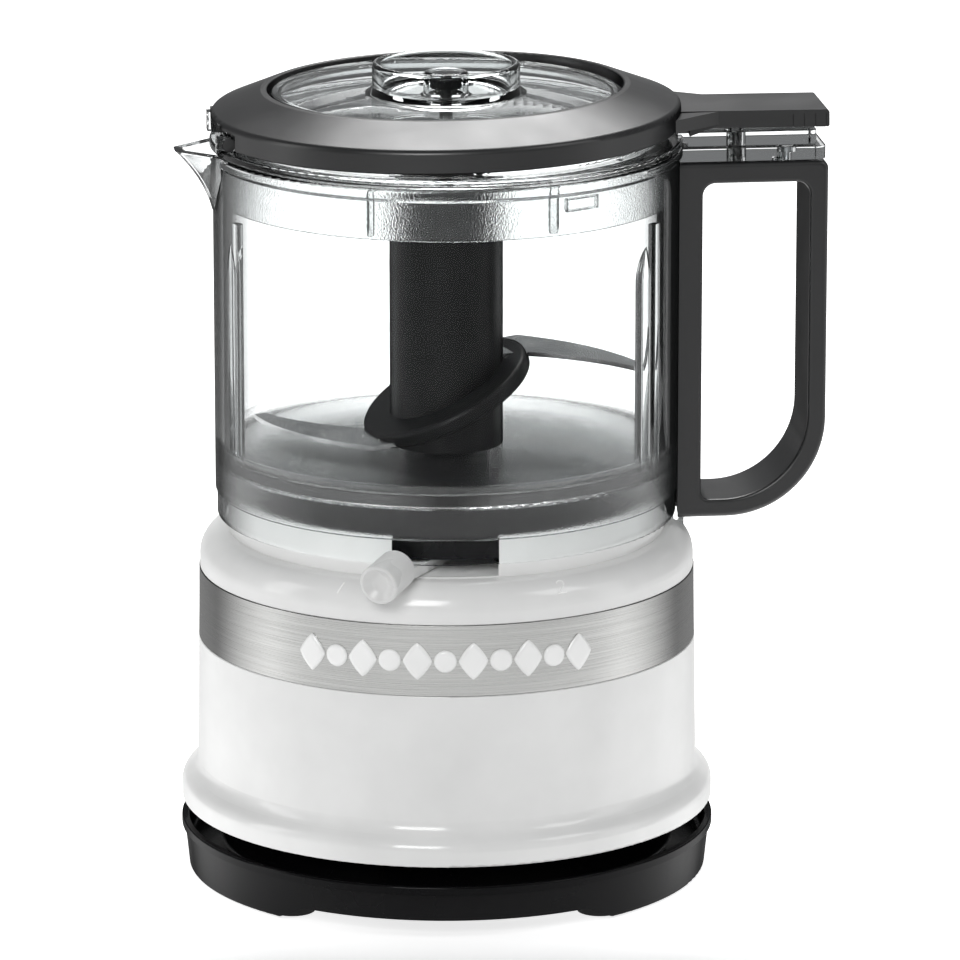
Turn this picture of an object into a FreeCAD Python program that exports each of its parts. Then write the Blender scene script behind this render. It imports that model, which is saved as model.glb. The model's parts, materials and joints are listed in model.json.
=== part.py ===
import FreeCAD, Part
import math
import os
import Sketcher
from FreeCAD import Placement, Rotation, Vector

# Small food processor. +Z is up, the front faces -Y and the origin is on the table under the
# centre of the base. The bowl, its lid and its blade are turned by handle_angle about Z, so
# that the handle points along +X and a little to the back. Lengths are millimetres and angles
# are degrees.

SIZES = {
    # overall sizes
    "bowl_radius": 62.6, "bowl_height": 100.9, "band_bottom": 65.6, "handle_depth": 39.4,
    # base pan, feet and cord groove
    "foot_height": 0.8, "foot_radius": 6.0, "foot_margin": 0.9, "foot_angle": 48.0,
    "pan_overhang": 3.1, "pan_taper": 1.2, "pan_rim_step": 0.8, "pan_rim_height": 2.5,
    "pan_step_height": 12.1, "pan_wall": 2.2, "pan_floor_bottom": 5.6, "pan_floor_thickness": 2.2,
    "pan_foot_rounding": 0.6, "pan_rim_rounding": 0.5, "pan_groove_rounding": 1.5,
    "pan_arch_height": 4.9, "pan_arch_top_half": 38.0, "pan_arch_foot_half": 46.0,
    "pan_arch_rounding": 3.0, "groove_depth": 12.2, "core_wall": 2.2, "core_overlap": 6.1,
    "vent_count": 16, "vent_width": 3.0, "vent_inner_radius": 15.0, "vent_outer_radius": 28.0,
    "cord_hole_radius": 4.0, "cord_bore_radius": 2.6, "cord_rise": 6.4, "bush_flange": 1.4,
    # motor housing
    "groove_mouth": 5.3, "skirt_depth": 4.9, "skirt_height": 5.9, "skirt_slope": 3.4,
    "housing_over_bowl": 4.4, "housing_taper": 0.5, "housing_wall": 2.6,
    "band_height": 19.3, "band_thickness": 0.7, "band_recess": 0.9, "band_rounding": 0.3,
    "shoulder_radius": 7.6, "shoulder_height": 10.7, "deck_rise": 0.4,
    "deck_floor_thickness": 2.4, "neck_clearance": 1.2, "neck_wall": 2.4, "neck_height": 10.9,
    "neck_rounding": 0.5, "notch_half_width": 14.0, "notch_depth": 9.0,
    "post_radius": 4.5, "post_margin": 8.0, "post_hole_radius": 1.5, "post_hole_depth": 24.0,
    "post_angle": 45.0, "screw_radius": 1.4, "screw_head_radius": 3.2, "screw_head_height": 2.2,
    "base_screw_length": 18.0, "badge_half_width": 41.0, "badge_height": 10.5, "badge_relief": 0.7,
    # drive deck on top of the housing
    "deck_below_neck": 1.1, "drive_deck_thickness": 2.2, "deck_skirt_height": 5.2,
    "deck_wall": 2.0, "deck_boss_height": 16.6, "boss_clearance": 0.7, "boss_bore_gap": 1.2,
    "boss_fillet": 2.0, "seal_height": 3.0, "deck_screw_margin": 15.2,
    "deck_screw_angle": 22.5, "deck_screw_length": 7.0, "standoff_radius": 4.0,
    # speed lever
    "pivot_margin": 6.0, "lever_rest_angle": -25.0, "lever_width": 7.0, "lever_lift": 0.4,
    "lever_thickness": 2.9, "lever_post_radius": 3.3, "lever_post_length": 9.6,
    "knob_radius": 5.4, "knob_outset": 6.9, "knob_length": 11.9, "knob_rise": 4.0,
    "knob_droop": 9.0, "knob_dish_depth": 1.7, "knob_dish_margin": 2.2, "knob_lip": 0.9,
    # motor and gears
    "can_radius": 23.0, "can_wall": 1.6, "motor_clearance": 17.2, "end_cap_height": 8.0,
    "magnet_thickness": 3.0, "magnet_angle": 120.0, "magnet_bottom_margin": 8.0,
    "magnet_top_margin": 9.0, "core_bottom_margin": 12.0, "core_top_margin": 13.0,
    "armature_radius": 17.8, "armature_slots": 8, "slot_depth": 6.0, "slot_half_width": 1.6,
    "end_turn_height": 5.0, "end_turn_bore": 6.5, "commutator_radius": 6.0,
    "commutator_rise": 0.6, "commutator_height": 5.4, "can_bore": 4.6,
    "motor_shaft_radius": 2.5, "shaft_below_fan": 0.3, "shaft_above_pinion": 1.8,
    "fan_radius": 19.0, "fan_clearance": 1.7, "fan_height": 6.0, "fan_disc": 1.2, "fan_blades": 9,
    "gear_module": 1.0, "pinion_teeth": 13, "wheel_teeth": 52, "gear_thickness": 6.0,
    "gear_addendum": 0.9, "gear_dedendum": 1.2, "gear_overlap": 0.7, "gear_headroom": 4.8,
    "gear_floor_gap": 2.0, "wheel_hub_radius": 8.0, "wheel_hub_below": 1.4, "wheel_hub_above": 1.2,
    "wheel_hole_radius": 3.6, "gearbox_floor_thickness": 3.0, "gearbox_margin": 1.4,
    "gearbox_wall": 2.2, "cover_thickness": 2.8, "pinion_margin": 3.5, "ear_radius": 4.6,
    "ear_margin": 3.0, "ear_angle": 28.0, "bush_boss_wall": 2.5, "bush_seat": 3.6,
    "motor_screw_share": 0.62, "motor_screw_offset": 6.0,
    # drive shaft through the bowl
    "shaft_radius": 4.0, "bush_wall": 2.0, "upper_bush_length": 10.0, "cover_boss_height": 8.0,
    "shaft_above_chimney": 14.0, "coupling_wall": 3.0, "coupling_gap": 2.5,
    "coupling_length": 13.5, "shaft_in_coupling": 12.0,
    # switch gear
    "board_drop": 14.0, "board_thickness": 1.6, "board_half_width": 22.0, "board_front": 19.0,
    "board_back": 4.0, "button_inset": 0.9, "button_radius": 1.5, "button_rise": 3.0,
    "button_block_drop": 13.6, "button_block_height": 2.5, "switch_height": 14.5,
    "switch_travel": 3.5, "bracket_thickness": 2.5,
    # bowl
    "handle_angle": 6.5, "bowl_wall": 2.2, "bowl_seat": 4.1, "bowl_skirt": 18.3,
    "bowl_floor_thickness": 2.6, "foot_step": 0.5, "foot_step_height": 6.8, "rim_step": 0.9, "rim_height": 2.4, "chimney_wall": 2.0,
    "chimney_clearance": 4.0, "chimney_height": 33.0, "rib_width": 3.7, "rib_depth": 1.8,
    "rib_drop": 16.6, "rib_angle_left": -161.5, "rib_angle_right": -31.5,
    "spout_length": 10.4, "spout_half_width": 15.0, "spout_drop": 16.6, "spout_wall": 1.8,
    "tab_thickness": 3.4, "tab_inset": 0.6, "tab_rounding": 3.0, "presser_hole_gap": 0.9,
    # handle
    "handle_width": 24.0, "handle_below_rim": 4.6, "handle_overhang": 1.7, "column_depth": 5.4,
    "grip_thickness": 5.0, "bar_height": 5.8, "foot_bar_height": 4.9, "handle_bend": 27.0,
    "handle_rounding": 1.4, "hole_rounding": 0.9, "hole_corner": 3.5, "rod_clearance": 0.5,
    "rod_thickness": 1.9, "rod_half_width": 2.6, "rod_arm_thickness": 1.5, "rod_arm_margin": 2.6,
    "rod_window_base": 27.0, "rod_window_height": 25.0, "rod_window_half": 1.8,
    "spring_lift": 5.0, "spring_peg_height": 1.6, "handle_screw_inset": 11.0,
    "handle_screw_half": 6.5, "handle_screw_head": 2.3, "thin_screw_radius": 1.2,
    # blade
    "hub_clearance": 5.3, "hub_lift": 0.7, "hub_below_rim": 3.1, "hub_wall": 2.6,
    "hub_cap_thickness": 2.5, "hub_pin_radius": 4.3, "hub_pin_rise": 4.8, "hub_pin_stem": 1.75,
    "collar_width": 8.9, "collar_thickness": 4.0, "collar_tilt": 27.0, "collar_rise": 14.2,
    "collar_foot": 4.0,
    "blade_wall_gap": 5.4, "blade_thickness": 1.2, "lower_blade_rise": 3.2,
    "upper_blade_rise": 23.9, "blade_angle": 20.5, "blade_lead": 6.5,
    # lid
    "lid_skirt_gap": 0.4, "lid_skirt_depth": 14.1, "lid_skirt_wall": 1.8, "lid_flange_inset": 0.1,
    "lid_flange_height": 2.4, "lid_disc_height": 12.2, "lid_thickness": 2.4,
    "lid_tab_rise": 3.0, "lid_tab_gap": 0.5, "basin_radius": 19.8, "basin_wall": 2.0,
    "basin_height": 7.5, "basin_depth": 8.9, "basin_foot": 1.5, "drizzle_hole_radius": 1.2,
    "drizzle_hole_across": 6.5, "drizzle_hole_along": 12.2, "pin_post_gap": 0.6, "pin_post_wall": 1.2,
    # lever ring on the lid
    "ring_inset": 0.5, "ring_width": 15.3, "ring_disc_gap": 0.7, "ring_lift": 0.95,
    "ring_edge_height": 6.05, "ring_over_disc": 0.3, "ring_skirt_wall": 2.1,
    "ring_gap_half_width": 23.4, "hinge_inset": 3.4, "hinge_rise": 0.95, "hinge_pin_radius": 1.8,
    "hinge_pin_inner": 8.4, "hinge_pin_length": 9.6, "hinge_lift": 1.05, "arm_below_edge": 2.1,
    "arm_fall": 1.0, "arm_root_height": 4.7, "arm_wall": 2.2, "arm_headroom": 0.7,
    "presser_outset": 15.4, "presser_radius": 1.75,
    # clearances
    "running_gap": 0.05, "slide_gap": 0.3, "press_gap": 0.02, "fit_gap": 0.15,
    "screw_gap": 0.1, "tooth_backlash": 0.12,
}

doc = FreeCAD.newDocument("FoodProcessor")
sheet = doc.addObject("Spreadsheet::Sheet", "Sizes")
for row, (alias, number) in enumerate(SIZES.items(), start=1):
    sheet.set(f"A{row}", alias)
    sheet.set(f"B{row}", str(number))
    sheet.setAlias(f"B{row}", alias)
doc.recompute()


class Size:
    """A number together with the sheet expression that gives it."""

    def __init__(self, value, text):
        self.value = value
        self.text = text

    def __add__(self, other):
        other = sized(other)
        return Size(self.value + other.value, f"({self.text} + {other.text})")

    def __sub__(self, other):
        other = sized(other)
        return Size(self.value - other.value, f"({self.text} - {other.text})")

    def __mul__(self, other):
        other = sized(other)
        return Size(self.value * other.value, f"({self.text} * {other.text})")

    def __truediv__(self, other):
        other = sized(other)
        return Size(self.value / other.value, f"({self.text} / {other.text})")

    def __radd__(self, other):
        return sized(other) + self

    def __rsub__(self, other):
        return sized(other) - self

    def __rmul__(self, other):
        return sized(other) * self

    def __neg__(self):
        return Size(-self.value, f"(0 - {self.text})")


def sized(thing):
    """The thing as a Size: a plain number becomes its own text."""
    return thing if isinstance(thing, Size) else Size(float(thing), repr(float(thing)))


def sine(angle):
    angle = sized(angle)
    return Size(math.sin(math.radians(angle.value)), f"sin({angle.text} * 1 deg)")


def cosine(angle):
    angle = sized(angle)
    return Size(math.cos(math.radians(angle.value)), f"cos({angle.text} * 1 deg)")


class Sheet:
    """The sheet's cells by alias, each as a Size."""

    def __getattr__(self, alias):
        return Size(float(sheet.get(alias)), f"Sizes.{alias}")


v = Sheet()

# radii and stations that follow from the bowl
v.bowl_rim_radius = v.bowl_radius + v.rim_step
v.bowl_inner = v.bowl_radius - v.bowl_wall
v.neck_radius = v.bowl_inner - v.neck_clearance
v.housing_top_radius = v.bowl_radius + v.housing_over_bowl
v.housing_radius = v.housing_top_radius + v.housing_taper
v.skirt_radius = v.housing_radius + v.skirt_depth
v.pan_low_radius = v.housing_radius + v.pan_overhang
v.pan_high_radius = v.pan_low_radius + v.pan_taper
v.pan_rim_radius = v.pan_high_radius + v.pan_rim_step
v.core_radius = v.skirt_radius - v.groove_depth
v.foot_ring_radius = v.pan_low_radius - v.pan_wall - v.foot_radius - v.foot_margin
v.post_ring_radius = v.core_radius - v.core_wall - v.post_margin
v.deck_screw_ring = v.neck_radius - v.deck_screw_margin
v.spout_reach = v.bowl_radius + v.spout_length
v.handle_reach = v.bowl_radius + v.handle_depth
v.tab_reach = v.handle_reach - v.tab_inset
v.arm_reach = v.handle_reach
v.column_outer = v.bowl_radius + v.column_depth
v.grip_outer = v.handle_reach - v.grip_thickness
v.handle_screw_station = v.handle_reach - v.handle_screw_inset
v.rod_inner = v.bowl_radius + v.rod_clearance
v.rod_outer = v.rod_inner + v.rod_thickness
v.button_station = v.bowl_radius + v.button_inset
v.presser_station = v.bowl_radius + v.presser_outset
v.rod_arm_reach = v.presser_station + v.rod_arm_margin
v.lid_skirt_radius = v.bowl_inner - v.lid_skirt_gap
v.lid_flange_radius = v.bowl_rim_radius - v.lid_flange_inset
v.ring_radius = v.bowl_rim_radius - v.ring_inset
v.ring_bore = v.ring_radius - v.ring_width
v.lid_disc_radius = v.ring_bore - v.ring_disc_gap
v.hinge_station = v.ring_radius - v.hinge_inset
v.hinge_pin_outer = v.hinge_pin_inner + v.hinge_pin_length
v.lid_tab_half_width = v.handle_width / 2 - v.arm_wall - v.lid_tab_gap
v.basin_foot_radius = v.basin_radius + v.basin_foot
v.blade_tip_radius = v.bowl_inner - v.blade_wall_gap

# radii that follow from the drive shaft and the gears
v.bush_radius = v.shaft_radius + v.bush_wall
v.coupling_radius = v.shaft_radius + v.coupling_wall
v.chimney_bore = v.shaft_radius + v.chimney_clearance
v.chimney_radius = v.chimney_bore + v.chimney_wall
v.deck_boss_radius = v.chimney_bore - v.boss_clearance
v.deck_boss_bore = v.shaft_radius + v.boss_bore_gap
v.hub_radius = v.chimney_radius + v.hub_clearance
v.collar_radius = v.hub_radius + v.collar_width
v.motor_y = v.gear_module * (v.pinion_teeth + v.wheel_teeth) / 2
v.gearbox_radius = (v.gear_module * (v.wheel_teeth / 2 + v.gear_addendum)
                    + v.gearbox_margin + v.gearbox_wall)
v.pinion_room = v.gear_module * v.pinion_teeth / 2 + v.pinion_margin
v.ear_ring_radius = v.gearbox_radius + v.ear_margin
v.lever_pivot_y = -(v.gearbox_radius + v.pivot_margin)
v.knob_start = v.neck_radius + v.knob_outset + v.lever_pivot_y

# heights of the base, from the table up
v.pan_floor_top = v.pan_floor_bottom + v.pan_floor_thickness
v.pan_rim_top = v.pan_step_height + v.pan_rim_height
v.cord_height = v.pan_floor_top + v.cord_rise
v.skirt_bottom = v.pan_rim_top + v.groove_mouth
v.skirt_flare_start = v.skirt_bottom + v.skirt_height
v.skirt_flare_end = v.skirt_flare_start + v.skirt_slope
v.core_top = v.skirt_bottom + v.core_overlap
v.band_top = v.band_bottom + v.band_height
v.shoulder_top = v.band_top + v.shoulder_height
v.deck_floor_top = v.shoulder_top + v.deck_rise
v.deck_floor_bottom = v.deck_floor_top - v.deck_floor_thickness
v.neck_top = v.shoulder_top + v.neck_height
v.drive_deck_top = v.neck_top - v.deck_below_neck
v.drive_deck_skirt = v.drive_deck_top - v.deck_skirt_height
v.deck_boss_top = v.drive_deck_top + v.deck_boss_height
v.seal_bottom = v.deck_boss_top - v.seal_height
v.lever_bottom = v.deck_floor_top + v.lever_lift
v.lever_post_bottom = v.shoulder_top - v.lever_post_length
v.knob_height = v.shoulder_top + v.knob_rise
v.board_bottom = v.deck_floor_bottom - v.board_drop
v.button_top = v.shoulder_top + v.button_rise
v.button_block_bottom = v.shoulder_top - v.button_block_drop
v.bracket_top = v.button_block_bottom - v.switch_travel - v.switch_height

# heights of the motor and the gearbox, down from the deck
v.gearbox_top = v.deck_floor_bottom - v.cover_thickness
v.gear_bottom = v.gearbox_top - v.gear_thickness - v.gear_headroom
v.gearbox_floor = v.gear_bottom - v.gearbox_floor_thickness - v.gear_floor_gap
v.can_top = v.gearbox_floor
v.can_bottom = v.pan_floor_top + v.motor_clearance
v.end_cap_bottom = v.can_bottom - v.end_cap_height
v.magnet_bottom = v.can_bottom + v.magnet_bottom_margin
v.magnet_top = v.can_top - v.magnet_top_margin
v.core_bottom = v.can_bottom + v.core_bottom_margin
v.core_length = v.can_top - v.core_top_margin - v.core_bottom
v.commutator_bottom = v.can_bottom + v.commutator_rise
v.fan_bottom = v.pan_floor_top + v.fan_clearance
v.motor_shaft_bottom = v.fan_bottom - v.shaft_below_fan
v.motor_shaft_top = v.gear_bottom + v.gear_thickness + v.gear_overlap + v.shaft_above_pinion
v.shaft_bottom = v.gearbox_floor - v.bush_seat + v.slide_gap

# heights of the bowl, its handle and its blade
v.bowl_bottom = v.shoulder_top + v.bowl_seat
v.bowl_floor_top = v.bowl_bottom + v.bowl_skirt
v.bowl_floor_bottom = v.bowl_floor_top - v.bowl_floor_thickness
v.bowl_top = v.bowl_bottom + v.bowl_height
v.chimney_top = v.bowl_floor_top + v.chimney_height
v.shaft_top = v.chimney_top + v.shaft_above_chimney
v.coupling_bottom = v.chimney_top + v.coupling_gap
v.coupling_top = v.coupling_bottom + v.coupling_length
v.rib_top = v.bowl_top - v.rib_drop
v.spout_bottom = v.bowl_top - v.spout_drop
v.handle_top = v.bowl_top - v.handle_below_rim
v.handle_bottom = v.bowl_bottom - v.handle_overhang
v.bar_bottom = v.handle_top - v.bar_height
v.handle_hole_bottom = v.handle_bottom + v.foot_bar_height
v.rod_bottom = v.button_top + v.slide_gap
v.rod_top = v.handle_top - v.slide_gap
v.rod_window_bottom = v.handle_bottom + v.rod_window_base
v.rod_window_top = v.rod_window_bottom + v.rod_window_height
v.spring_seat = v.rod_window_bottom + v.spring_lift
v.tab_bottom = v.handle_top + v.slide_gap
v.tab_top = v.tab_bottom + v.tab_thickness
v.hub_bottom = v.bowl_floor_top + v.hub_lift
v.hub_top = v.bowl_top - v.hub_below_rim
v.collar_height = v.bowl_floor_top + v.collar_rise
v.lower_blade_height = v.bowl_floor_top + v.lower_blade_rise
v.upper_blade_height = v.bowl_floor_top + v.upper_blade_rise

# heights of the lid and its lever ring
v.lid_skirt_bottom = v.bowl_top - v.lid_skirt_depth
v.lid_flange_bottom = v.bowl_top + v.slide_gap
v.lid_flange_top = v.bowl_top + v.lid_flange_height
v.lid_tab_top = v.bowl_top + v.lid_tab_rise
v.lid_disc_top = v.lid_flange_top + v.lid_disc_height
v.basin_top = v.lid_disc_top + v.basin_height
v.basin_floor = v.basin_top - v.basin_depth
v.hub_pin_top = v.basin_floor + v.hub_pin_rise
v.ring_bottom = v.lid_flange_top + v.ring_lift
v.ring_edge_top = v.ring_bottom + v.ring_edge_height
v.ring_bore_top = v.lid_disc_top + v.ring_over_disc
v.hinge_height = v.ring_bottom + v.hinge_rise
v.arm_start_top = v.ring_edge_top - v.arm_below_edge
v.arm_end_top = v.arm_start_top - v.arm_fall
v.arm_start_bottom = v.arm_start_top - v.arm_root_height
v.arm_end_bottom = v.arm_end_top - v.arm_root_height
v.arm_ceiling = v.lid_tab_top + v.arm_headroom


def bind(item, **properties):
    """Set properties of an object from Sizes, and tie them to the sheet."""
    for name, size in properties.items():
        size = sized(size)
        path = name.replace("__", ".")
        if "." not in path:
            setattr(item, name, size.value)
        item.setExpression(path, size.text)
    return item


# ---------------------------------------------------------------- sketches and features

def corner_arc(before, corner, after, radius):
    """Start, end and centre of the arc that rounds a corner between two straight sides."""
    towards_before = (before - corner).normalize()
    towards_after = (after - corner).normalize()
    half = towards_before.getAngle(towards_after) / 2
    reach = radius / math.tan(half)
    middle = (towards_before + towards_after).normalize()
    centre = corner + middle * (radius / math.sin(half))
    return corner + towards_before * reach, corner + towards_after * reach, centre


def pin_point(sketch, geometry, position, x, y):
    """Dimension a sketch point from the origin, with both dimensions tied to the sheet."""
    for kind, size, axis in (("DistanceX", sized(x), -2), ("DistanceY", sized(y), -1)):
        if abs(size.value) < 1e-9:
            sketch.addConstraint(Sketcher.Constraint("PointOnObject", geometry, position, axis))
            continue
        ends = (-1, 1, geometry, position) if size.value > 0 else (geometry, position, -1, 1)
        size = size if size.value > 0 else -size
        number = sketch.addConstraint(Sketcher.Constraint(kind, *ends, size.value))
        sketch.setExpression(f"Constraints[{number}]", size.text)


def draw_outline(sketch, corners):
    """Closed outline of straight sides. A corner is (x, y), or (x, y, radius) to round it."""
    count = len(corners)
    points = [Vector(sized(c[0]).value, sized(c[1]).value, 0) for c in corners]
    arcs = [None] * count
    for i, corner in enumerate(corners):
        if len(corner) == 3:
            radius = sized(corner[2]).value
            arcs[i] = corner_arc(points[i - 1], points[i], points[(i + 1) % count], radius)
    sides = []
    for i in range(count):
        after = (i + 1) % count
        start = arcs[i][1] if arcs[i] else points[i]
        end = arcs[after][0] if arcs[after] else points[after]
        sides.append(sketch.addGeometry(Part.LineSegment(start, end), False))
    for i, corner in enumerate(corners):
        if arcs[i] is None:
            sketch.addConstraint(Sketcher.Constraint("Coincident", sides[i - 1], 2, sides[i], 1))
            pin_point(sketch, sides[i], 1, corner[0], corner[1])
        else:
            round_corner(sketch, corner, points[i], arcs[i], sides[i - 1], sides[i])


def round_corner(sketch, corner, point, arc, side_before, side_after):
    """An arc tangent to both sides, whose sharp corner stays dimensioned."""
    start, end, centre = arc
    radius = sized(corner[2])
    first = math.atan2(start.y - centre.y, start.x - centre.x)
    last = math.atan2(end.y - centre.y, end.x - centre.x)
    anticlockwise = (last - first) % (2 * math.pi) < math.pi
    circle = Part.Circle(centre, Vector(0, 0, 1), radius.value)
    angles = (first, last) if anticlockwise else (last, first)
    start_end, far_end = (1, 2) if anticlockwise else (2, 1)
    bend = sketch.addGeometry(Part.ArcOfCircle(circle, *angles), False)
    sharp = sketch.addGeometry(Part.Point(point), True)
    sketch.addConstraint(Sketcher.Constraint("Tangent", side_before, 2, bend, start_end))
    sketch.addConstraint(Sketcher.Constraint("Tangent", bend, far_end, side_after, 1))
    sketch.addConstraint(Sketcher.Constraint("PointOnObject", sharp, 1, side_before))
    sketch.addConstraint(Sketcher.Constraint("PointOnObject", sharp, 1, side_after))
    number = sketch.addConstraint(Sketcher.Constraint("Radius", bend, radius.value))
    sketch.setExpression(f"Constraints[{number}]", radius.text)
    pin_point(sketch, sharp, 1, corner[0], corner[1])


def draw_circle(sketch, x, y, radius):
    """A circle whose centre and radius are tied to the sheet."""
    radius = sized(radius)
    centre = Vector(sized(x).value, sized(y).value, 0)
    circle = sketch.addGeometry(Part.Circle(centre, Vector(0, 0, 1), radius.value), False)
    number = sketch.addConstraint(Sketcher.Constraint("Radius", circle, radius.value))
    sketch.setExpression(f"Constraints[{number}]", radius.text)
    pin_point(sketch, circle, 3, x, y)


def new_sketch(body, plane, outlines=(), circles=(), height=None):
    """A sketch on one of the body's own planes, with outlines, circles and an offset."""
    sketch = body.newObject("Sketcher::SketchObject", body.Label + "_sketch")
    origin_plane = next(f for f in body.Origin.OriginFeatures if f.Role == plane)
    sketch.AttachmentSupport = [(origin_plane, "")]
    sketch.MapMode = "FlatFace"
    if height is not None:
        sketch.AttachmentOffset = Placement(Vector(0, 0, sized(height).value), Rotation())
        sketch.setExpression(".AttachmentOffset.Base.z", sized(height).text)
    for outline in outlines:
        draw_outline(sketch, outline)
    for circle in circles:
        draw_circle(sketch, *circle)
    doc.recompute()
    return sketch


def new_body(label):
    body = doc.addObject("PartDesign::Body", label)
    body.Label = label
    body.AllowCompound = True
    return body


def revolve(body, outline, kind="PartDesign::Revolution"):
    """Turn a half section, drawn as (radius, height), about the body's Z axis."""
    sketch = new_sketch(body, "XZ_Plane", [outline])
    feature = body.newObject(kind, body.Label + "_turned")
    feature.Profile = sketch
    feature.ReferenceAxis = (sketch, ["V_Axis"])
    feature.Angle = 360
    doc.recompute()
    return feature


def pad(body, length, plane="XY_Plane", outlines=(), circles=(), height=None, middle=False):
    """Add material from a sketch, upward from its height or to both sides of its plane."""
    sketch = new_sketch(body, plane, outlines, circles, height)
    feature = body.newObject("PartDesign::Pad", body.Label + "_pad")
    feature.Profile = sketch
    bind(feature, Length=length)
    feature.Midplane = middle
    doc.recompute()
    return feature


def pocket(body, length, plane="XY_Plane", outlines=(), circles=(), height=None, middle=False):
    """Cut from a sketch, upward from its height or to both sides of its plane."""
    before = body.Shape.Volume
    sketch = new_sketch(body, plane, outlines, circles, height)
    feature = body.newObject("PartDesign::Pocket", body.Label + "_pocket")
    feature.Profile = sketch
    bind(feature, Length=length)
    feature.Midplane = middle
    feature.Reversed = not middle
    doc.recompute()
    if body.Shape.Volume > before - 1e-3:
        raise RuntimeError(f"{body.Label}: a pocket removed nothing")
    return feature


def around(body, features, count):
    """Repeat features evenly round the body's Z axis."""
    pattern = body.newObject("PartDesign::PolarPattern", body.Label + "_pattern")
    pattern.Originals = features
    axis = next(f for f in body.Origin.OriginFeatures if f.Role == "Z_Axis")
    pattern.Axis = (axis, [""])
    pattern.Angle = 360
    pattern.Occurrences = int(count.value)
    pattern.setExpression("Occurrences", count.text)
    body.Tip = pattern
    doc.recompute()
    return pattern


def soften(body, radius, chosen):
    """Round the edges of the finished body that the test picks."""
    base = body.Tip
    names = [f"Edge{i}" for i, edge in enumerate(base.Shape.Edges, start=1) if chosen(edge)]
    fillet = body.newObject("PartDesign::Fillet", body.Label + "_rounding")
    fillet.Base = (base, names)
    bind(fillet, Radius=radius)
    doc.recompute()
    return fillet


def rectangle(low_x, high_x, low_y, high_y):
    return [(low_x, low_y), (high_x, low_y), (high_x, high_y), (low_x, high_y)]


def ring_of_circles(radius, distance, angle, count=4):
    """Circles at even steps round the origin, the first at the given angle."""
    spots = [angle + 360.0 / count * step for step in range(count)]
    return [(distance * cosine(spot), distance * sine(spot), radius) for spot in spots]


def mirrored_circles(radius, distance, angle):
    """Four circles, mirrored about the X and the Y axis."""
    across, along = distance * cosine(angle), distance * sine(angle)
    return [(sx * across, sy * along, radius) for sx in (-1, 1) for sy in (-1, 1)]


# ---------------------------------------------------------------- primitives and placing

def primitive(kind, name, at=(0, 0, 0), turn=None, **sizes):
    """A Part primitive with its sizes and its position tied to the sheet."""
    item = bind(doc.addObject(f"Part::{kind}", name), **sizes)
    if turn is not None:
        item.Placement = Placement(Vector(), turn)
    for axis, size in zip("xyz", at):
        item.setExpression(f".Placement.Base.{axis}", sized(size).text)
    return item


def cylinder(name, radius, length, at=(0, 0, 0), turn=None):
    return primitive("Cylinder", name, at, turn, Radius=radius, Height=length)


def box(name, low, high):
    """A box between two corners."""
    spans = [sized(b) - a for a, b in zip(low, high)]
    return primitive("Box", name, low, None, Length=spans[0], Width=spans[1], Height=spans[2])


def fuse(label, *items):
    joined = doc.addObject("Part::MultiFuse", label)
    joined.Label = label
    joined.Shapes = list(items)
    return joined


def cut(label, base, tool):
    result = doc.addObject("Part::Cut", label)
    result.Label = label
    result.Base, result.Tool = base, tool
    return result


def common(label, first, second):
    result = doc.addObject("Part::MultiCommon", label)
    result.Label = label
    result.Shapes = [first, second]
    return result


def group(label, *items):
    """Separate solids that share one node."""
    result = doc.addObject("Part::Compound", label)
    result.Label = label
    result.Links = list(items)
    return result


def coded(label, shape):
    """An object whose shape is worked out in code from the sheet's sizes."""
    item = doc.addObject("Part::Feature", label)
    item.Label = label
    item.Shape = shape
    return item


def turn_with_handle(item):
    """Turn a piece of the bowl group about Z, so that its +X points along the handle."""
    bind(item, Placement__Rotation__Angle=v.handle_angle)
    return item


def stand_in_handle(item, station):
    """Move a coded piece out along the handle's direction."""
    turn = Placement(Vector(), Rotation(Vector(0, 0, 1), v.handle_angle.value))
    item.Placement = turn * Placement(Vector(station, 0, 0), Rotation()) * item.Placement
    return item


def move_to_motor(item):
    bind(item, Placement__Base__y=v.motor_y)
    return item


NODES = []


def keep(item):
    NODES.append(item)
    return item


# ---------------------------------------------------------------- base

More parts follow.
